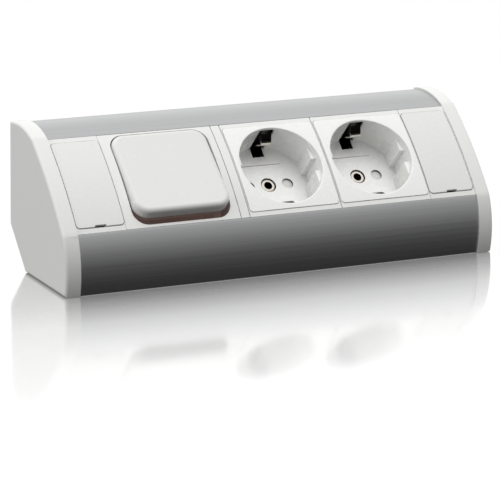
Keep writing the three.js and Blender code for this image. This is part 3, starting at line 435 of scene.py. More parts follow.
def brushed(name, color, roughness, contrast):
    """Metal with fine drawn lines along x."""
    along = (1.5, 900, 900)
    material, nodes, links, shader, coordinates = node_material(name)
    stretch = nodes.new("ShaderNodeMapping")
    stretch.inputs["Scale"].default_value = along
    links.new(coordinates.outputs["Object"], stretch.inputs["Vector"])
    where = stretch.outputs["Vector"]
    lines = noise(nodes, links, where, 2.2, 6, 0.65)
    low = tuple(c * (1 - contrast) for c in color)
    links.new(ramp(nodes, links, lines, low, color), shader.inputs["Base Color"])
    wander = spread(nodes, links, lines, roughness - 0.05, roughness + 0.07)
    links.new(wander, shader.inputs["Roughness"])
    shader.inputs["Metallic"].default_value = 1
    bump(nodes, links, shader, lines, 0.3, 0.00002)
    return material


def outside_heights(nodes, links, where, low, high):
    """0 between two heights over the face, in millimetres, and 1 elsewhere."""
    out = FACE_TO_ROW.to_3x3() @ Vector((0, 0, 1))
    height = offset_along(nodes, links, where, out, FACE_TO_ROW.translation * MM)
    below = calculate(nodes, links, "LESS_THAN", height, low * MM)
    above = calculate(nodes, links, "GREATER_THAN", height, high * MM)
    return calculate(nodes, links, "MAXIMUM", below, above)


def plated(name, color, roughness, unshaded_heights=None):
    """Plated metal with faint wear. If heights are given, the metal outside them is darkened as painted
    shade.
    """
    material, nodes, links, shader, coordinates = node_material(name)
    where = coordinates.outputs["Object"]
    wear = noise(nodes, links, where, WEAR_SCALE, 5, 0.6)
    low = tuple(c * 0.82 for c in color)
    tint = ramp(nodes, links, wear, low, color)
    # Painted shade: outside the given heights the metal is darkened in the colour.
    if unshaded_heights:
        shade_share = outside_heights(nodes, links, where, *unshaded_heights)
        tint = blend(nodes, links, shade_share, tint, PAINTED_SHADE_METAL)
    links.new(tint, shader.inputs["Base Color"])
    links.new(spread(nodes, links, wear, roughness, roughness + 0.12), shader.inputs["Roughness"])
    shader.inputs["Metallic"].default_value = 1
    bump(nodes, links, shader, wear, 0.15, 0.00002)
    return material


CAP = plastic("cap_plastic", (0.80, 0.805, 0.785), 0.34)
FRAME = plastic("frame_plastic", (0.82, 0.82, 0.805), 0.3)
# The insert gets painted shade in its side contacts' recesses and in the holes of its floor.
INSERT = plastic("insert_plastic", (0.89, 0.89, 0.875), 0.27, paint_recess_shade=True)
COVER = plastic("cover_plastic", (0.785, 0.785, 0.77), 0.27)
ROCKER = plastic("rocker_plastic", (0.76, 0.76, 0.747), 0.26)
# The brown inside of the switch is given painted glow, to brighten it in the shade under the rocker.
INNER = plastic("inner_plastic", (0.40, 0.285, 0.255), 0.45, 0.04, painted_glow=0.11)
GREY = plastic("grey_plastic", (0.36, 0.35, 0.34), 0.5, 0.05)
RUBBER = plastic("rubber", (0.02, 0.02, 0.021), 0.6, 0.008, 0.00004)
ANODISED = brushed("anodised_aluminium", (0.645, 0.65, 0.655), 0.34, 0.12)
STEEL = plated("zinc_steel", (0.60, 0.61, 0.63), 0.28)
# Painted shade: the screw's hole below its head and the side contact away from its bow are darkened in the
# colour.
NICKEL = plated("nickel", (0.88, 0.83, 0.76), 0.12, unshaded_heights=(WELL_FLOOR - 1.0, 0))
CONTACT = plated("contact_nickel", (0.75, 0.72, 0.67), 0.06, unshaded_heights=(-9.5, -4.3))
BRASS = plated("brass", (0.68, 0.48, 0.19), 0.25)
COPPER = plated("copper", (0.65, 0.36, 0.2), 0.3)
WIRES = {
    "live": plastic("wire_brown", (0.11, 0.045, 0.02), 0.42, 0.02),
    "neutral": plastic("wire_blue", (0.03, 0.09, 0.34), 0.42, 0.02),
    "earth": plastic("wire_green", (0.22, 0.42, 0.03), 0.42, 0.05),
}


def carried_over_material(node):
    if node.endswith("_wire"):
        return WIRES[node.split("_")[0]]
    if node.startswith(("live_contact", "neutral_contact")):
        return BRASS
    if node in ("contact_lever", "lever_post", "fixed_contact"):
        return COPPER
    if node.startswith("socket_base") or node == "inlet_terminal_block":
        return GREY
    if node in ("switch_base", "rocker_plunger"):
        return INNER
    if node == "cable_inlet_grommet":
        return RUBBER
    if node.startswith("shutter"):
        return COVER
    return STEEL


def smooth_with_flat_faces(obj):
    """Shades arcs and rounded edges smooth, and keeps the wide faces between them flat."""
    for polygon in obj.data.polygons:
        polygon.use_smooth = True
    obj.data.set_sharp_from_angle(angle=math.radians(SHARP_ANGLE))
    modifier = obj.modifiers.new("normals", "WEIGHTED_NORMAL")
    modifier.mode = "FACE_AREA"
    modifier.weight = 100
    modifier.keep_sharp = True
    bake(obj)


def finish_piece(obj, name, material, slot, body, *nodes):
    """Names a finished piece, gives it its look, and lets it stand for its CAD nodes."""
    obj.data.transform(Matrix.Scale(MM, 4))
    smooth_with_flat_faces(obj)
    obj.name = name
    obj.data.name = name
    obj.data.materials.clear()
    obj.data.materials.append(material)
    for polygon in obj.data.polygons:
        polygon.material_index = 0
    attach(obj, body)
    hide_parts(*nodes)
    return obj


# ------------------------------------------------------------------ extrusion and end caps
def screw_holes(side):
    """The wall fixings, and the countersunk holes of the end cap's screws, in the base and the back."""
    fixing, screw = FIXING, CAP_SCREW
    x = side * screw["x"]
    return [
        rod(fixing["radius"], (-1, 3), side * fixing["x"], fixing["y"], 32),
        rod_y(fixing["radius"], (BACK_Y - 3, BACK_Y + 1), side * fixing["x"], fixing["z"]),
        rod(screw["head"], (-1, screw["sunk"]), x, screw["y"], 32),
        rod_y(screw["head"], (BACK_Y - screw["sunk"], BACK_Y + 1), x, screw["z"]),
        rod(screw["core"], (0, 3), x, screw["y"], 32),
        rod_y(screw["core"], (BACK_Y - 3, BACK_Y), x, screw["z"]),
    ]


def make_profile():
    length = about(0, INNER_END - REST_GAP)
    wide = about(0, LENGTH / 2)
    plate_floor = PLATE_DEPTH + REST_GAP
    shell = section_bar(length)
    tools = [
        section_bar(wide, base=WALL, wing=WALL, face=plate_floor + LEDGE_THICK),
        on_face(box(wide, about(0, LEDGE_HALF), (-10, CLEAR))),
        on_face(box(wide, about(0, PLATE_HALF + REST_GAP), (-plate_floor, CLEAR))),
        on_face(rod(INLET_RADIUS, (CHAMFER_FACE_Z - 1, CHAMFER_FACE_Z + 3), INLET_X, 0)),
    ]
    bevel(cut(shell, *tools, *screw_holes(-1), *screw_holes(1)), 0.18, 2, 30)
    return finish_piece(
        shell, "profile_skin", ANODISED, "anodised_aluminium", "strip", "aluminium_profile")


def cap_band():
    """The visible hoop of the right end cap, with its rounded outer edge."""
    outer, steps = LENGTH / 2, 7
    loops = [section(wing=-CAP_PROUD, face=-CAP_PROUD, base=0)]
    xs = [INNER_END]
    for i in range(steps + 1):
        turn = math.pi / 2 * i / steps
        inset = CAP_EDGE * (1 - math.cos(turn))
        loops.append(section(wing=inset - CAP_PROUD, face=inset - CAP_PROUD, base=inset))
        xs.append(outer - CAP_EDGE + CAP_EDGE * math.sin(turn))
    band = loft("band", [[(x, y, z) for y, z in loop] for x, loop in zip(xs, loops)])
    return cut(band, section_bar((INNER_END - 1, outer - CAP_SIDE_WALL), base=3, wing=2.6, face=2.6))


def cap_spigot():
    """The hollow tongue of the cap that enters the extrusion."""
    outer, start = LENGTH / 2, INNER_END - 6
    return cut(
        section_bar((start, outer - 2), base=2.1, wing=2.1, face=5.2),
        section_bar((start - 1, outer - CAP_SIDE_WALL), base=3.7, wing=3.7, face=6.8),
    )


def cap_seat():
    """The cap's plate in the face, which lies beside the modules and holds the cover."""
    inner, outer = SOCKET_X[1] + MODULE_PITCH / 2, INNER_END + 1
    plan = rounded_rectangle(outer - inner, 2 * PLATE_HALF, PLATE_CORNER, (outer + inner) / 2, 0, 2)
    return on_face(arched_plate("seat", plan, -PLATE_DEPTH, 0))


def cover_cuts():
    """What is cut from the cap under its cover: recess, pocket, shadow gap and pry slot."""
    plan = rounded_rectangle(
        COVER_WIDTH + 2 * SEAM, COVER_HEIGHT + 2 * SEAM, COVER_CORNER + SEAM, COVER_X, 0)
    edge = -COVER_HEIGHT / 2
    tools = [
        cut(prism("recess", plan, -8, 8), under_face(-SUNK - REST_GAP)),
        box(about(COVER_X, POCKET_HALF_X), about(0, POCKET_HALF_Y), (POCKET_LOW, 10)),
        box(about(COVER_X, COVER_WIDTH / 2 - 1), (edge - SEAM, edge + 0.5), (-3, 4)),
        box(about(COVER_X, PRY_SLOT_HALF), (edge - SEAM, edge + PRY_SLOT_REACH), (-6, 4)),
    ]
    return [on_face(tool) for tool in tools]


def make_cap(side):
    cap = boolean(cap_band(), "UNION", cap_spigot(), cap_seat())
    cut(cap, *cover_cuts())
    bevel(cap, 0.15, 2, 50)
    name = "right" if side > 0 else "left"
    if side < 0:
        cap.data.transform(Matrix.Scale(-1, 4, (1, 0, 0)))
        cap.data.flip_normals()
    return finish_piece(cap, f"cap_{name}_skin", CAP, "cap_white", "strip", f"end_cap_{name}")


def make_cover(side):
    x, edge = side * COVER_X, -COVER_HEIGHT / 2
    plan = rounded_rectangle(COVER_WIDTH, COVER_HEIGHT, COVER_CORNER, x, 0)
    sheet = arched_sheet("cover", plan, -SUNK, COVER_PROUD)
    cut(sheet, box(about(x, PRY_SLOT_HALF), (edge - 1, edge + PRY_NOTCH), (-8, 8)))
    bevel(sheet, 0.35, 3, 40)
    legs = []
    for end in (-1, 1):
        leg = box(about(x + end * 8.5, 0.6), about(0, 6), (-5, 1.2))
        legs.append(bevel(leg, 0.2, 2))
    on_face(merge(sheet, *legs))
    name = "right" if side > 0 else "left"
    return finish_piece(
        sheet, f"cover_{name}_skin", COVER, "insert_white", f"cover_{name}", f"screw_cover_{name}")


# ------------------------------------------------------------------ face plates
def snap_legs(x, half_width):
    """Two hooked legs that hold a face plate in the extrusion."""
    legs = []
    for side in (-1, 1):
        top = -PLATE_DEPTH + 0.5
        legs.append(box(about(x, half_width), about(side * LEG_Y, 0.6), (LEG_LOW, top)))
        legs.append(box(about(x, half_width), about(side * (LEG_Y + 0.8), 0.8), (LEG_LOW, LEG_HOOK_TOP)))
    return legs


def plate_plan(left, right):
    return rounded_rectangle(right - left, 2 * PLATE_HALF, PLATE_CORNER, (left + right) / 2, 0, 2)


def switch_frame_wall(side):
    """The wall beside the rocker, with the two rails that hold the switch base."""
    wall_x = SWITCH_X + side * (OPENING_WIDTH / 2 + 0.85)
    rails = [
        box(about(wall_x - side * 1.1, 1.1), about(SWITCH_Y, 12), heights)
        for heights in ((-8.8, -7.6), (-12.2, -10.8))
    ]
    return [box(about(wall_x, 0.7), about(0, 22.6), (-13, -PLATE_DEPTH + 0.5)), *rails]


def make_switch_frame():
    plate = arched_plate("switch_frame_skin", plate_plan(FRAME_LEFT, FRAME_RIGHT), -PLATE_DEPTH, 0)
    opening = rounded_rectangle(OPENING_WIDTH, OPENING_HEIGHT, OPENING_CORNER, SWITCH_X, OPENING_Y)
    cut(plate, prism("opening", opening, -CLEAR, CLEAR))
    bevel(plate, 0.2, 3, 40)
    extra = []
    for side in (-1, 1):
        extra += switch_frame_wall(side) + snap_legs(SWITCH_X + side * 24.6, 1.2)
    on_face(merge(plate, *extra))
    return finish_piece(plate, "switch_frame_skin", FRAME, "frame_white", "strip", "switch_frame")


def make_spacer():
    left = FRAME_RIGHT + SEAM
    right = SOCKET_X[0] - MODULE_PITCH / 2 - SEAM / 2
    plate = arched_plate("spacer_skin", plate_plan(left, right), -PLATE_DEPTH, 0)
    bevel(plate, 0.18, 3, 40)
    on_face(merge(plate, *snap_legs((left + right) / 2, 1.6)))
    return finish_piece(plate, "spacer_skin", FRAME, "frame_white", "strip", "spacer_strip")


def make_socket_frame(index):
    x = SOCKET_X[index]
    half = (MODULE_PITCH - SEAM) / 2
    plate = arched_plate("socket_frame", plate_plan(x - half, x + half), -PLATE_DEPTH, 0)
    seat = rounded_rectangle(
        INSERT_WIDTH + 2 * REST_GAP, INSERT_HEIGHT + 2 * REST_GAP, INSERT_CORNER, x, 0)
    cut(plate, cut(prism("seat", seat, -8, 8), under_face(-SUNK - REST_GAP)))

    def well_hole():
        return box(about(x, FRAME_HOLE_HALF_X), about(WELL_Y, FRAME_HOLE_HALF_Y), (COLLAR_LOW - 1, 10))

    cut(plate, well_hole())
    bevel(plate, 0.15, 3, 40)
    outer = box(about(x, COLLAR_HALF_X), about(0, COLLAR_HALF_Y), (COLLAR_LOW, -PLATE_DEPTH + 0.5))
    on_face(merge(plate, cut(outer, well_hole()), *snap_legs(x, 6)))
    n = index + 1
    return finish_piece(
        plate, f"socket_frame_{n}_skin", FRAME, "frame_white", "strip", f"socket_frame_{n}")


# ------------------------------------------------------------------ socket outlet
def edge_distance(angle, half_width, half_height, radius, offset_y):
    """How far the rounded rectangle's edge is from the well's centre in the given direction."""
    direction = Vector((math.cos(angle), math.sin(angle)))
    low, high = 0.0, 60.0
    for _ in range(40):
        middle = (low + high) / 2
        x = abs(direction.x * middle) - (half_width - radius)
        y = abs(direction.y * middle + offset_y) - (half_height - radius)
        outside = math.hypot(max(x, 0), max(y, 0)) + min(max(x, y), 0) - radius
        if outside > 0:
            high = middle
        else:
            low = middle
    return low


def well_angles():
    """The directions of the insert's columns: even steps, the slots' edges and the plate's corners."""
    step, slot_clear, least_gap, corner_step = 3, 1.2, 0.02, 15
    half_slot = math.degrees(math.asin(CLIP_SLOT_HALF / WELL_RADIUS))
    angles = {float(a) for a in range(0, 360, step)}
    for centre in (90.0, 270.0):
        angles = {a for a in angles if abs(abs(a - centre) - half_slot) > slot_clear}
        angles |= {centre - half_slot, centre + half_slot}
    corner_x = INSERT_WIDTH / 2 - INSERT_CORNER
    corner_y = INSERT_HEIGHT / 2 - INSERT_CORNER
    for side_x, side_y, start in ((1, 1, 0), (-1, 1, 90), (-1, -1, 180), (1, -1, 270)):
        for i in range(90 // corner_step + 1):
            turn = math.radians(start + corner_step * i)
            x = side_x * corner_x + INSERT_CORNER * math.cos(turn)
            y = side_y * corner_y + INSERT_CORNER * math.sin(turn) - WELL_Y
            angles.add(math.degrees(math.atan2(y, x)) % 360)
    ordered = sorted(angles)
    following = ordered[1:] + [ordered[0] + 360]
    return [a for a, b in zip(ordered, following) if b - a > least_gap]


def in_slot(angle):
    return abs(WELL_RADIUS * math.cos(math.radians(angle))) < CLIP_SLOT_HALF


def insert_column(bm, x0, angle):
    """The insert's section in one direction: underside, edge, plate, rim and the wall of the well."""
    edge_round, edge_rows, rim_rows, plate_rows = 0.18, 3, 4, 6
    cos, sin = math.cos(angle), math.sin(angle)
    reach = edge_distance(angle, INSERT_WIDTH / 2, INSERT_HEIGHT / 2, INSERT_CORNER, WELL_Y)
    rim = WELL_RADIUS + WELL_RIM
    rows = []

    def add(distance, height=None, drop=0.0):
        y = WELL_Y + distance * sin
        z = arch(y, INSERT_PROUD) - drop if height is None else height
        rows.append(bm.verts.new((x0 + distance * cos, y, z)))

    add(WELL_RADIUS + 1.2, drop=INSERT_PROUD + SUNK)
    add(reach, drop=INSERT_PROUD + SUNK)
    for i in range(edge_rows + 1):
        turn = math.pi / 2 * i / edge_rows
        add(reach - edge_round * (1 - math.cos(turn)), drop=edge_round * (1 - math.sin(turn)))
    for i in range(1, plate_rows):
        share = i / plate_rows
        add(reach - edge_round + (rim - reach + edge_round) * share)
    for i in range(rim_rows + 1):
        turn = math.pi / 2 * i / rim_rows
        add(rim - WELL_RIM * math.sin(turn), drop=WELL_RIM * (1 - math.cos(turn)))
    add(WELL_RADIUS, CLIP_SLOT_TOP)
    add(WELL_RADIUS, WELL_FLOOR - 0.2)
    return rows


def add_contact_recess(bm, x0, side):
    """The recess of one side contact: two cheeks, a roof and a back wall."""
    back_y = WELL_Y + side * 20.95
    front_y = WELL_Y + side * (WELL_RADIUS - 0.6)
    roof_y = front_y + side * 0.4
    roof, low = CLIP_SLOT_TOP, WELL_FLOOR - FLOOR_THICK
    left, right = x0 - CLIP_SLOT_HALF, x0 + CLIP_SLOT_HALF

    def quad(*points):
        bm.faces.new([bm.verts.new(p) for p in points])

    for x in (left, right):
        quad((x, front_y, roof), (x, back_y, roof), (x, back_y, low), (x, front_y, low))
    quad((left, roof_y, roof), (right, roof_y, roof), (right, back_y, roof), (left, back_y, roof))
    quad((left, back_y, roof), (right, back_y, roof), (right, back_y, low), (left, back_y, low))


def insert_shell(x0):
    """Plate, rim and wall of the well as one skin, open where the side contacts come through."""
    bm = bmesh.new()
    angles = well_angles()
    columns = [insert_column(bm, x0, math.radians(degrees)) for degrees in angles]
    count = len(columns)
    for i in range(count):
        a, b = columns[i], columns[(i + 1) % count]
        step = (angles[(i + 1) % count] - angles[i]) % 360
        rows = len(a) - 2 if in_slot(angles[i] + step / 2) else len(a) - 1
        for row in range(rows):
            bm.faces.new((a[row], b[row], b[row + 1], a[row + 1]))
    for side in (-1, 1):
        add_contact_recess(bm, x0, side)
    return new_object("insert", bm)


def well_floor(x0):
    """The floor of the well, with pin holes, contact slots, the screw's seat and the shutter's pocket."""
    low, seat_radius, through = WELL_FLOOR - FLOOR_THICK, 3.6, (-20, -10)
    floor = rod(WELL_RADIUS + 0.6, (low, WELL_FLOOR), x0, WELL_Y, 120)
    holes = [rod(PIN_HOLE_RADIUS, through, x0 + side * PIN_SPACING / 2, WELL_Y) for side in (-1, 1)]
    holes += [
        box(about(x0, CLIP_WIDTH / 2 + 0.4), about(WELL_Y + side * 18, 3.2), through) for side in (-1, 1)
    ]
    holes.append(rod(seat_radius, (WELL_FLOOR - 1.6, -10), x0, WELL_Y))
    holes.append(rod(SCREW_NECK + 0.25, through, x0, WELL_Y))
    holes.append(cut(
        box(about(x0, 13.5), (WELL_Y - 3.7, WELL_Y + 13.3), (low - 1, -16.7)),
        rod(4.6, (-25, -10), x0, WELL_Y),
    ))
    bevel(cut(floor, *holes), 0.3, 3, 40)
    line_y, line_width, line_depth = WELL_Y + 10.3, 0.3, 0.35
    line = box((x0 - 18, x0 + 9.5), (line_y, line_y + line_width), (WELL_FLOOR - line_depth, WELL_FLOOR + 1))
    return cut(floor, line)


def well_guide(x0, side_x, side_y):
    """One of the four flats that guide the plug, beside the groove at the middle of its side."""
    steps, overlap = 8, 0.4
    top = math.asin(math.sqrt(WELL_RADIUS ** 2 - GUIDE_FLAT ** 2) / WELL_RADIUS)
    start = math.asin(GUIDE_GROOVE / (WELL_RADIUS + overlap))
    outline = [(GUIDE_FLAT, GUIDE_GROOVE)]
    for i in range(steps + 1):
        angle = start + (top - start) * i / steps
        radius = WELL_RADIUS + overlap * (1 - i / steps)
        outline.append((radius * math.cos(angle), radius * math.sin(angle)))
    outline = [(x0 + side_x * x, WELL_Y + side_y * y) for x, y in outline]
    return bevel(prism("guide", outline, WELL_FLOOR - 0.5, GUIDE_TOP), 0.25, 2, 50)


def make_insert(index):
    x0 = SOCKET_X[index]
    insert = insert_shell(x0)
    guides = [well_guide(x0, side_x, side_y) for side_x in (-1, 1) for side_y in (-1, 1)]
    on_face(merge(insert, well_floor(x0), *guides))
    n = index + 1
    return finish_piece(
        insert, f"socket_insert_{n}_skin", INSERT, "insert_white", "strip", f"socket_insert_{n}")


def smooth_point(p0, p1, p2, p3, t):
    """A point of the Catmull-Rom curve from p1 to p2."""
    return Vector([
        0.5 * (2 * b + (c - a) * t + (2 * a - 5 * b + 4 * c - d) * t ** 2 + (3 * b - a - 3 * c + d) * t ** 3)
        for a, b, c, d in zip(p0, p1, p2, p3)
    ])


def ribbon(points, thickness, x, steps=4):
    """A strip of constant thickness along a smooth line in the y-z plane."""
    padded = [points[0]] + points + [points[-1]]
    line = [
        smooth_point(*around, i / steps)
        for around in zip(padded, padded[1:], padded[2:], padded[3:])
        for i in range(steps)
    ]
    line.append(Vector(points[-1]))
    one, other = [], []
    for i, point in enumerate(line):
        along = (line[min(i + 1, len(line) - 1)] - line[max(i - 1, 0)]).normalized()
        across = Vector((-along.y, along.x)) * thickness / 2
        one.append(point + across)
        other.append(point - across)
    outline = [(p.x, p.y) for p in one + list(reversed(other))]
    return prism("ribbon", outline, x[0], x[1], axis="x")


def make_clip(index):
    x0 = SOCKET_X[index]
    thick = 0.6
    strap_z = WELL_FLOOR - FLOOR_THICK - SEAM - 0.7
    strap_heights = about(strap_z, thick / 2)
    arm = [(17.2, strap_z), (18.5, -17.2), (19, -12.4), (15.5, -6.6), (15.9, -4.6), (18.6, -2.2)]
    pieces = []
    for side in (-1, 1):
        line = [(WELL_Y + side * y, z) for y, z in arm]
        pieces.append(bevel(ribbon(line, thick, about(x0, CLIP_WIDTH / 2)), 0.12, 2, 40))
    strap = box(about(x0, CLIP_WIDTH / 2), about(WELL_Y, 17.5), strap_heights)
    ring = box(about(x0, 3.6), about(WELL_Y, 6), about(strap_z, thick / 2 - 0.01))
    hole = rod(SCREW_NECK + 0.25, (-21, -10), x0, WELL_Y)
    pieces.append(cut(boolean(strap, "UNION", ring), hole))
    tail = box(about(x0, 2.2), (13, 16), (-23, strap_z))
    terminal = bevel(box(about(x0, 4), about(14.6, 3.4), (-29, -22)), 0.3, 2)
    clip = on_face(merge(*pieces, tail, terminal))
    n = index + 1
    return finish_piece(clip, f"earth_clip_{n}_skin", CONTACT, "nickel", "strip", f"earth_clip_{n}")


def make_centre_screw(index):
    x0 = SOCKET_X[index]
    top = WELL_FLOOR - 0.35
    neck_top, shank_top, end = top - 1.1, top - 7, top - 13
    head, neck, shank, socket = SCREW_HEAD, SCREW_NECK, SCREW_SHANK, SCREW_SOCKET
    profile = [
        (0, end), (shank, end + 1), (shank, shank_top), (neck, shank_top + 0.4), (neck, neck_top),
        (head - 0.2, neck_top), (head, top - 0.9), (head, top - 0.45), (head - 0.1, top - 0.2),
        (head - 0.3, top - 0.05), (head - 0.6, top), (socket + 0.3, top), (socket + 0.1, top - 0.08),
        (socket, top - 0.3), (socket, top - 6), (0, top - 6),
    ]
    screw = on_face(lathe("screw", profile, x0, WELL_Y, 64))
    n = index + 1
    return finish_piece(screw, f"centre_screw_{n}_skin", NICKEL, "nickel", "strip", f"centre_screw_{n}")


# ------------------------------------------------------------------ rocker
def make_rocker():
    """The white cap of the rocker: a hollow slab with a well-rounded upper edge."""
    low = ROCKER_TOP - ROCKER_THICK
    low_round, low_steps, steps = 0.3, 3, 8
    least_corner = 0.4
    loops = []

    def ring(inset, z):
        width, height = ROCKER_WIDTH - 2 * inset, ROCKER_HEIGHT - 2 * inset
        corner = max(ROCKER_CORNER - inset, least_corner)
        loops.append([(x, y, z) for x, y in rounded_rectangle(width, height, corner, 0, 0, 16)])

    ring(ROCKER_WALL, ROCKER_TOP - ROCKER_PLATE)
    ring(ROCKER_WALL, low)
    ring(low_round, low)
    for i in range(1, low_steps + 1):
        turn = math.pi / 2 * i / low_steps
        ring(low_round * (1 - math.sin(turn)), low + low_round * (1 - math.cos(turn)))
    for i in range(steps + 1):
        turn = math.pi / 2 * i / steps
        ring(ROCKER_ROUND * (1 - math.cos(turn)), ROCKER_TOP - ROCKER_ROUND * (1 - math.sin(turn)))
    slab = loft("rocker", loops)
    slab.data.transform(ROCKER_TO_ROW)
    return finish_piece(slab, "rocker_skin", ROCKER, "rocker_white", "rocker", "switch_rocker")


def make_carrier():
    """The brown tray inside the rocker's cap, with the bearings that turn on the axle."""
    gap = 0.2
    inset = ROCKER_WALL + gap
    high = ROCKER_TOP - ROCKER_PLATE - gap
    ceiling = high - CARRIER_PLATE
    bearings = ((-11, -8.8), (-4.2, 4.2), (8.8, 11))

    def outline(inset):
        width, height = ROCKER_WIDTH - 2 * inset, ROCKER_HEIGHT - 2 * inset
        return rounded_rectangle(width, height, ROCKER_CORNER - inset)

    tray = prism("tray", outline(inset), CARRIER_LOW, high)
    cut(tray, prism("inside", outline(inset + CARRIER_WALL), 0, ceiling))
    bevel(tray, 0.25, 2, 50)
    hub = [bevel(box(x, about(0, 4), (-3, ceiling + 0.2)), 0.3, 2) for x in bearings]
    merge(tray, *hub)
    tray.data.transform(ROCKER_TO_ROW)
    return finish_piece(tray, "carrier_skin", INNER, "inner_brown", "rocker", "rocker_carrier")


make_profile()
for side in (-1, 1):
    make_cap(side)
    make_cover(side)
make_switch_frame()
make_spacer()
make_rocker()
make_carrier()
for index in (0, 1):
    make_socket_frame(index)
    make_insert(index)
    make_clip(index)
    make_centre_screw(index)
for name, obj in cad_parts.items():
    if not obj.hide_render:
        obj.data.materials.clear()
        obj.data.materials.append(carried_over_material(name))

# ------------------------------------------------------------------ floor, light, camera
# How mirror-like the floor is, by its y in metres: it fades away in front of the strip.
FLOOR_FADE = (
    (-0.3, 0.05), (-0.2, 0.18), (-0.1, 0.38), (-0.072, 0.47), (-0.036, 0.78), (0.0, 0.9), (0.05, 0.9),
)


def grey_stops(node, stops):
    """Fills a colour ramp with grey levels at the given positions."""
    elements = node.color_ramp.elements
    for i, (position, level) in enumerate(stops):
        element = elements[i] if i < len(elements) else elements.new(position)
        element.position = position
        element.color = (level, level, level, 1)


def floor_sheet():
    bm = bmesh.new()
    half, steps = 3.0, 12
    marks = [half * (2 * i / steps - 1) for i in range(steps + 1)]
    rows = [[bm.verts.new((x, y, 0)) for x in marks] for y in marks]
    for j in range(steps):
        for i in range(steps):
            bm.faces.new((rows[j][i], rows[j][i + 1], rows[j + 1][i + 1], rows[j + 1][i]))
    return new_object("floor", bm)


def floor_material():
    material, nodes, links, shader, coordinates = node_material("floor_gloss")
    cloudy = noise(nodes, links, coordinates.outputs["Object"], 3, 2)
    white = ramp(nodes, links, cloudy, (0.985, 0.985, 0.985), (1, 1, 1))
    links.new(white, shader.inputs["Base Color"])
    split = nodes.new("ShaderNodeSeparateXYZ")
    links.new(coordinates.outputs["Object"], split.inputs["Vector"])
    near, far = FLOOR_FADE[-1][0], FLOOR_FADE[0][0]
    forward = nodes.new("ShaderNodeMapRange")
    forward.inputs["From Min"].default_value = far
    forward.inputs["From Max"].default_value = near
    links.new(split.outputs["Y"], forward.inputs["Value"])
    fade = nodes.new("ShaderNodeValToRGB")
    grey_stops(fade, [((y - far) / (near - far), level) for y, level in FLOOR_FADE])
    links.new(forward.outputs["Result"], fade.inputs["Fac"])
    links.new(fade.outputs["Color"], shader.inputs["Metallic"])
    shader.inputs["Roughness"].default_value = 0.1
    return material


def make_floor():
    floor = floor_sheet()
    floor.location.z = -0.0002
    floor.data.materials.append(floor_material())
    floor.visible_glossy = False
    floor.visible_diffuse = False


# Brightness of the studio by the height of the direction, from -1 straight down to 1 straight up.
SKY_STRENGTH = 2.0
FRONT_SKY = (
    (-1.0, 0.014), (-0.35, 0.018), (0.0, 0.06), (0.3, 0.17), (0.57, 0.3), (0.8, 0.5), (1.0, 0.52),
)
BACK_SKY = (
    (-1.0, 0.05), (-0.3, 0.2), (-0.03, 0.25), (0.1, 0.5), (0.3, 0.52), (0.6, 0.4), (0.9, 0.42), (1.0, 0.5),
)


def sky_levels(nodes, links, height, stops):
    node = nodes.new("ShaderNodeValToRGB")
    grey_stops(node, [((up + 1) / 2, level) for up, level in stops])
    links.new(height, node.inputs["Fac"])
    return node.outputs["Color"]


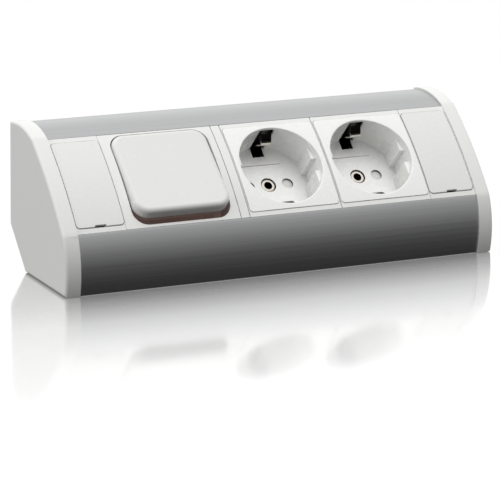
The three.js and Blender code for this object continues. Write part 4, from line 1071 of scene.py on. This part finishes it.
def studio_light(nodes, links):
    """The studio's brightness in every direction: one ramp for the front half, one for the back."""
    coordinates = nodes.new("ShaderNodeTexCoord")
    split = nodes.new("ShaderNodeSeparateXYZ")
    links.new(coordinates.outputs["Generated"], split.inputs["Vector"])
    height = nodes.new("ShaderNodeMapRange")
    height.inputs["From Min"].default_value = -1
    height.inputs["From Max"].default_value = 1
    links.new(split.outputs["Z"], height.inputs["Value"])
    front = sky_levels(nodes, links, height.outputs["Result"], FRONT_SKY)
    back = sky_levels(nodes, links, height.outputs["Result"], BACK_SKY)
    depth = nodes.new("ShaderNodeMapRange")
    depth.interpolation_type = "SMOOTHSTEP"
    depth.inputs["From Min"].default_value = -0.25
    depth.inputs["From Max"].default_value = 0.25
    links.new(split.outputs["Y"], depth.inputs["Value"])
    levels = nodes.new("ShaderNodeMix")
    levels.data_type = "RGBA"
    links.new(depth.outputs["Result"], levels.inputs[0])
    links.new(front, levels.inputs[6])
    links.new(back, levels.inputs[7])
    return levels.outputs[2]


def make_world():
    world = bpy.data.worlds.new("studio")
    world.use_nodes = True
    nodes, links = world.node_tree.nodes, world.node_tree.links
    nodes.clear()
    lit = nodes.new("ShaderNodeBackground")
    links.new(studio_light(nodes, links), lit.inputs["Color"])
    lit.inputs["Strength"].default_value = SKY_STRENGTH
    seen = nodes.new("ShaderNodeBackground")
    seen.inputs["Color"].default_value = (1, 1, 1, 1)
    path = nodes.new("ShaderNodeLightPath")
    mix = nodes.new("ShaderNodeMixShader")
    output = nodes.new("ShaderNodeOutputWorld")
    links.new(path.outputs["Is Camera Ray"], mix.inputs["Fac"])
    links.new(lit.outputs["Background"], mix.inputs[1])
    links.new(seen.outputs["Background"], mix.inputs[2])
    links.new(mix.outputs["Shader"], output.inputs["Surface"])
    bpy.context.scene.world = world


def area_light(name, location, target, size, power):
    """A soft square light that lights surfaces without showing as a bright patch in them."""
    data = bpy.data.lights.new(name, "AREA")
    data.shape = "RECTANGLE"
    data.size = size
    data.size_y = size
    data.energy = power
    light = bpy.data.objects.new(name, data)
    light.location = location
    light.rotation_euler = (Vector(target) - Vector(location)).to_track_quat("-Z", "Y").to_euler()
    light.visible_glossy = False
    bpy.context.scene.collection.objects.link(light)


def make_camera():
    data = bpy.data.cameras.new("camera")
    data.lens = 211.65
    data.sensor_width = 36
    data.clip_end = 50
    camera = bpy.data.objects.new("camera", data)
    rotation = Matrix((
        (0.89963, -0.43632, 0.01689),
        (0.09594, 0.23525, 0.96719),
        (-0.42598, -0.86849, 0.2535),
    )).transposed()
    camera.matrix_world = Matrix.Translation((-0.5615, -1.140535, 0.3363)) @ rotation.to_4x4()
    bpy.context.scene.collection.objects.link(camera)
    bpy.context.scene.camera = camera


make_floor()
make_world()
area_light("key", (0.1, -0.3, 1.2), (0, 0, 0.03), 0.8, 6.0)
area_light("side", (-1.1, -0.15, 0.35), (-0.05, 0, 0.03), 0.5, 2.8)
make_camera()
bpy.context.scene.view_settings.view_transform = "Standard"
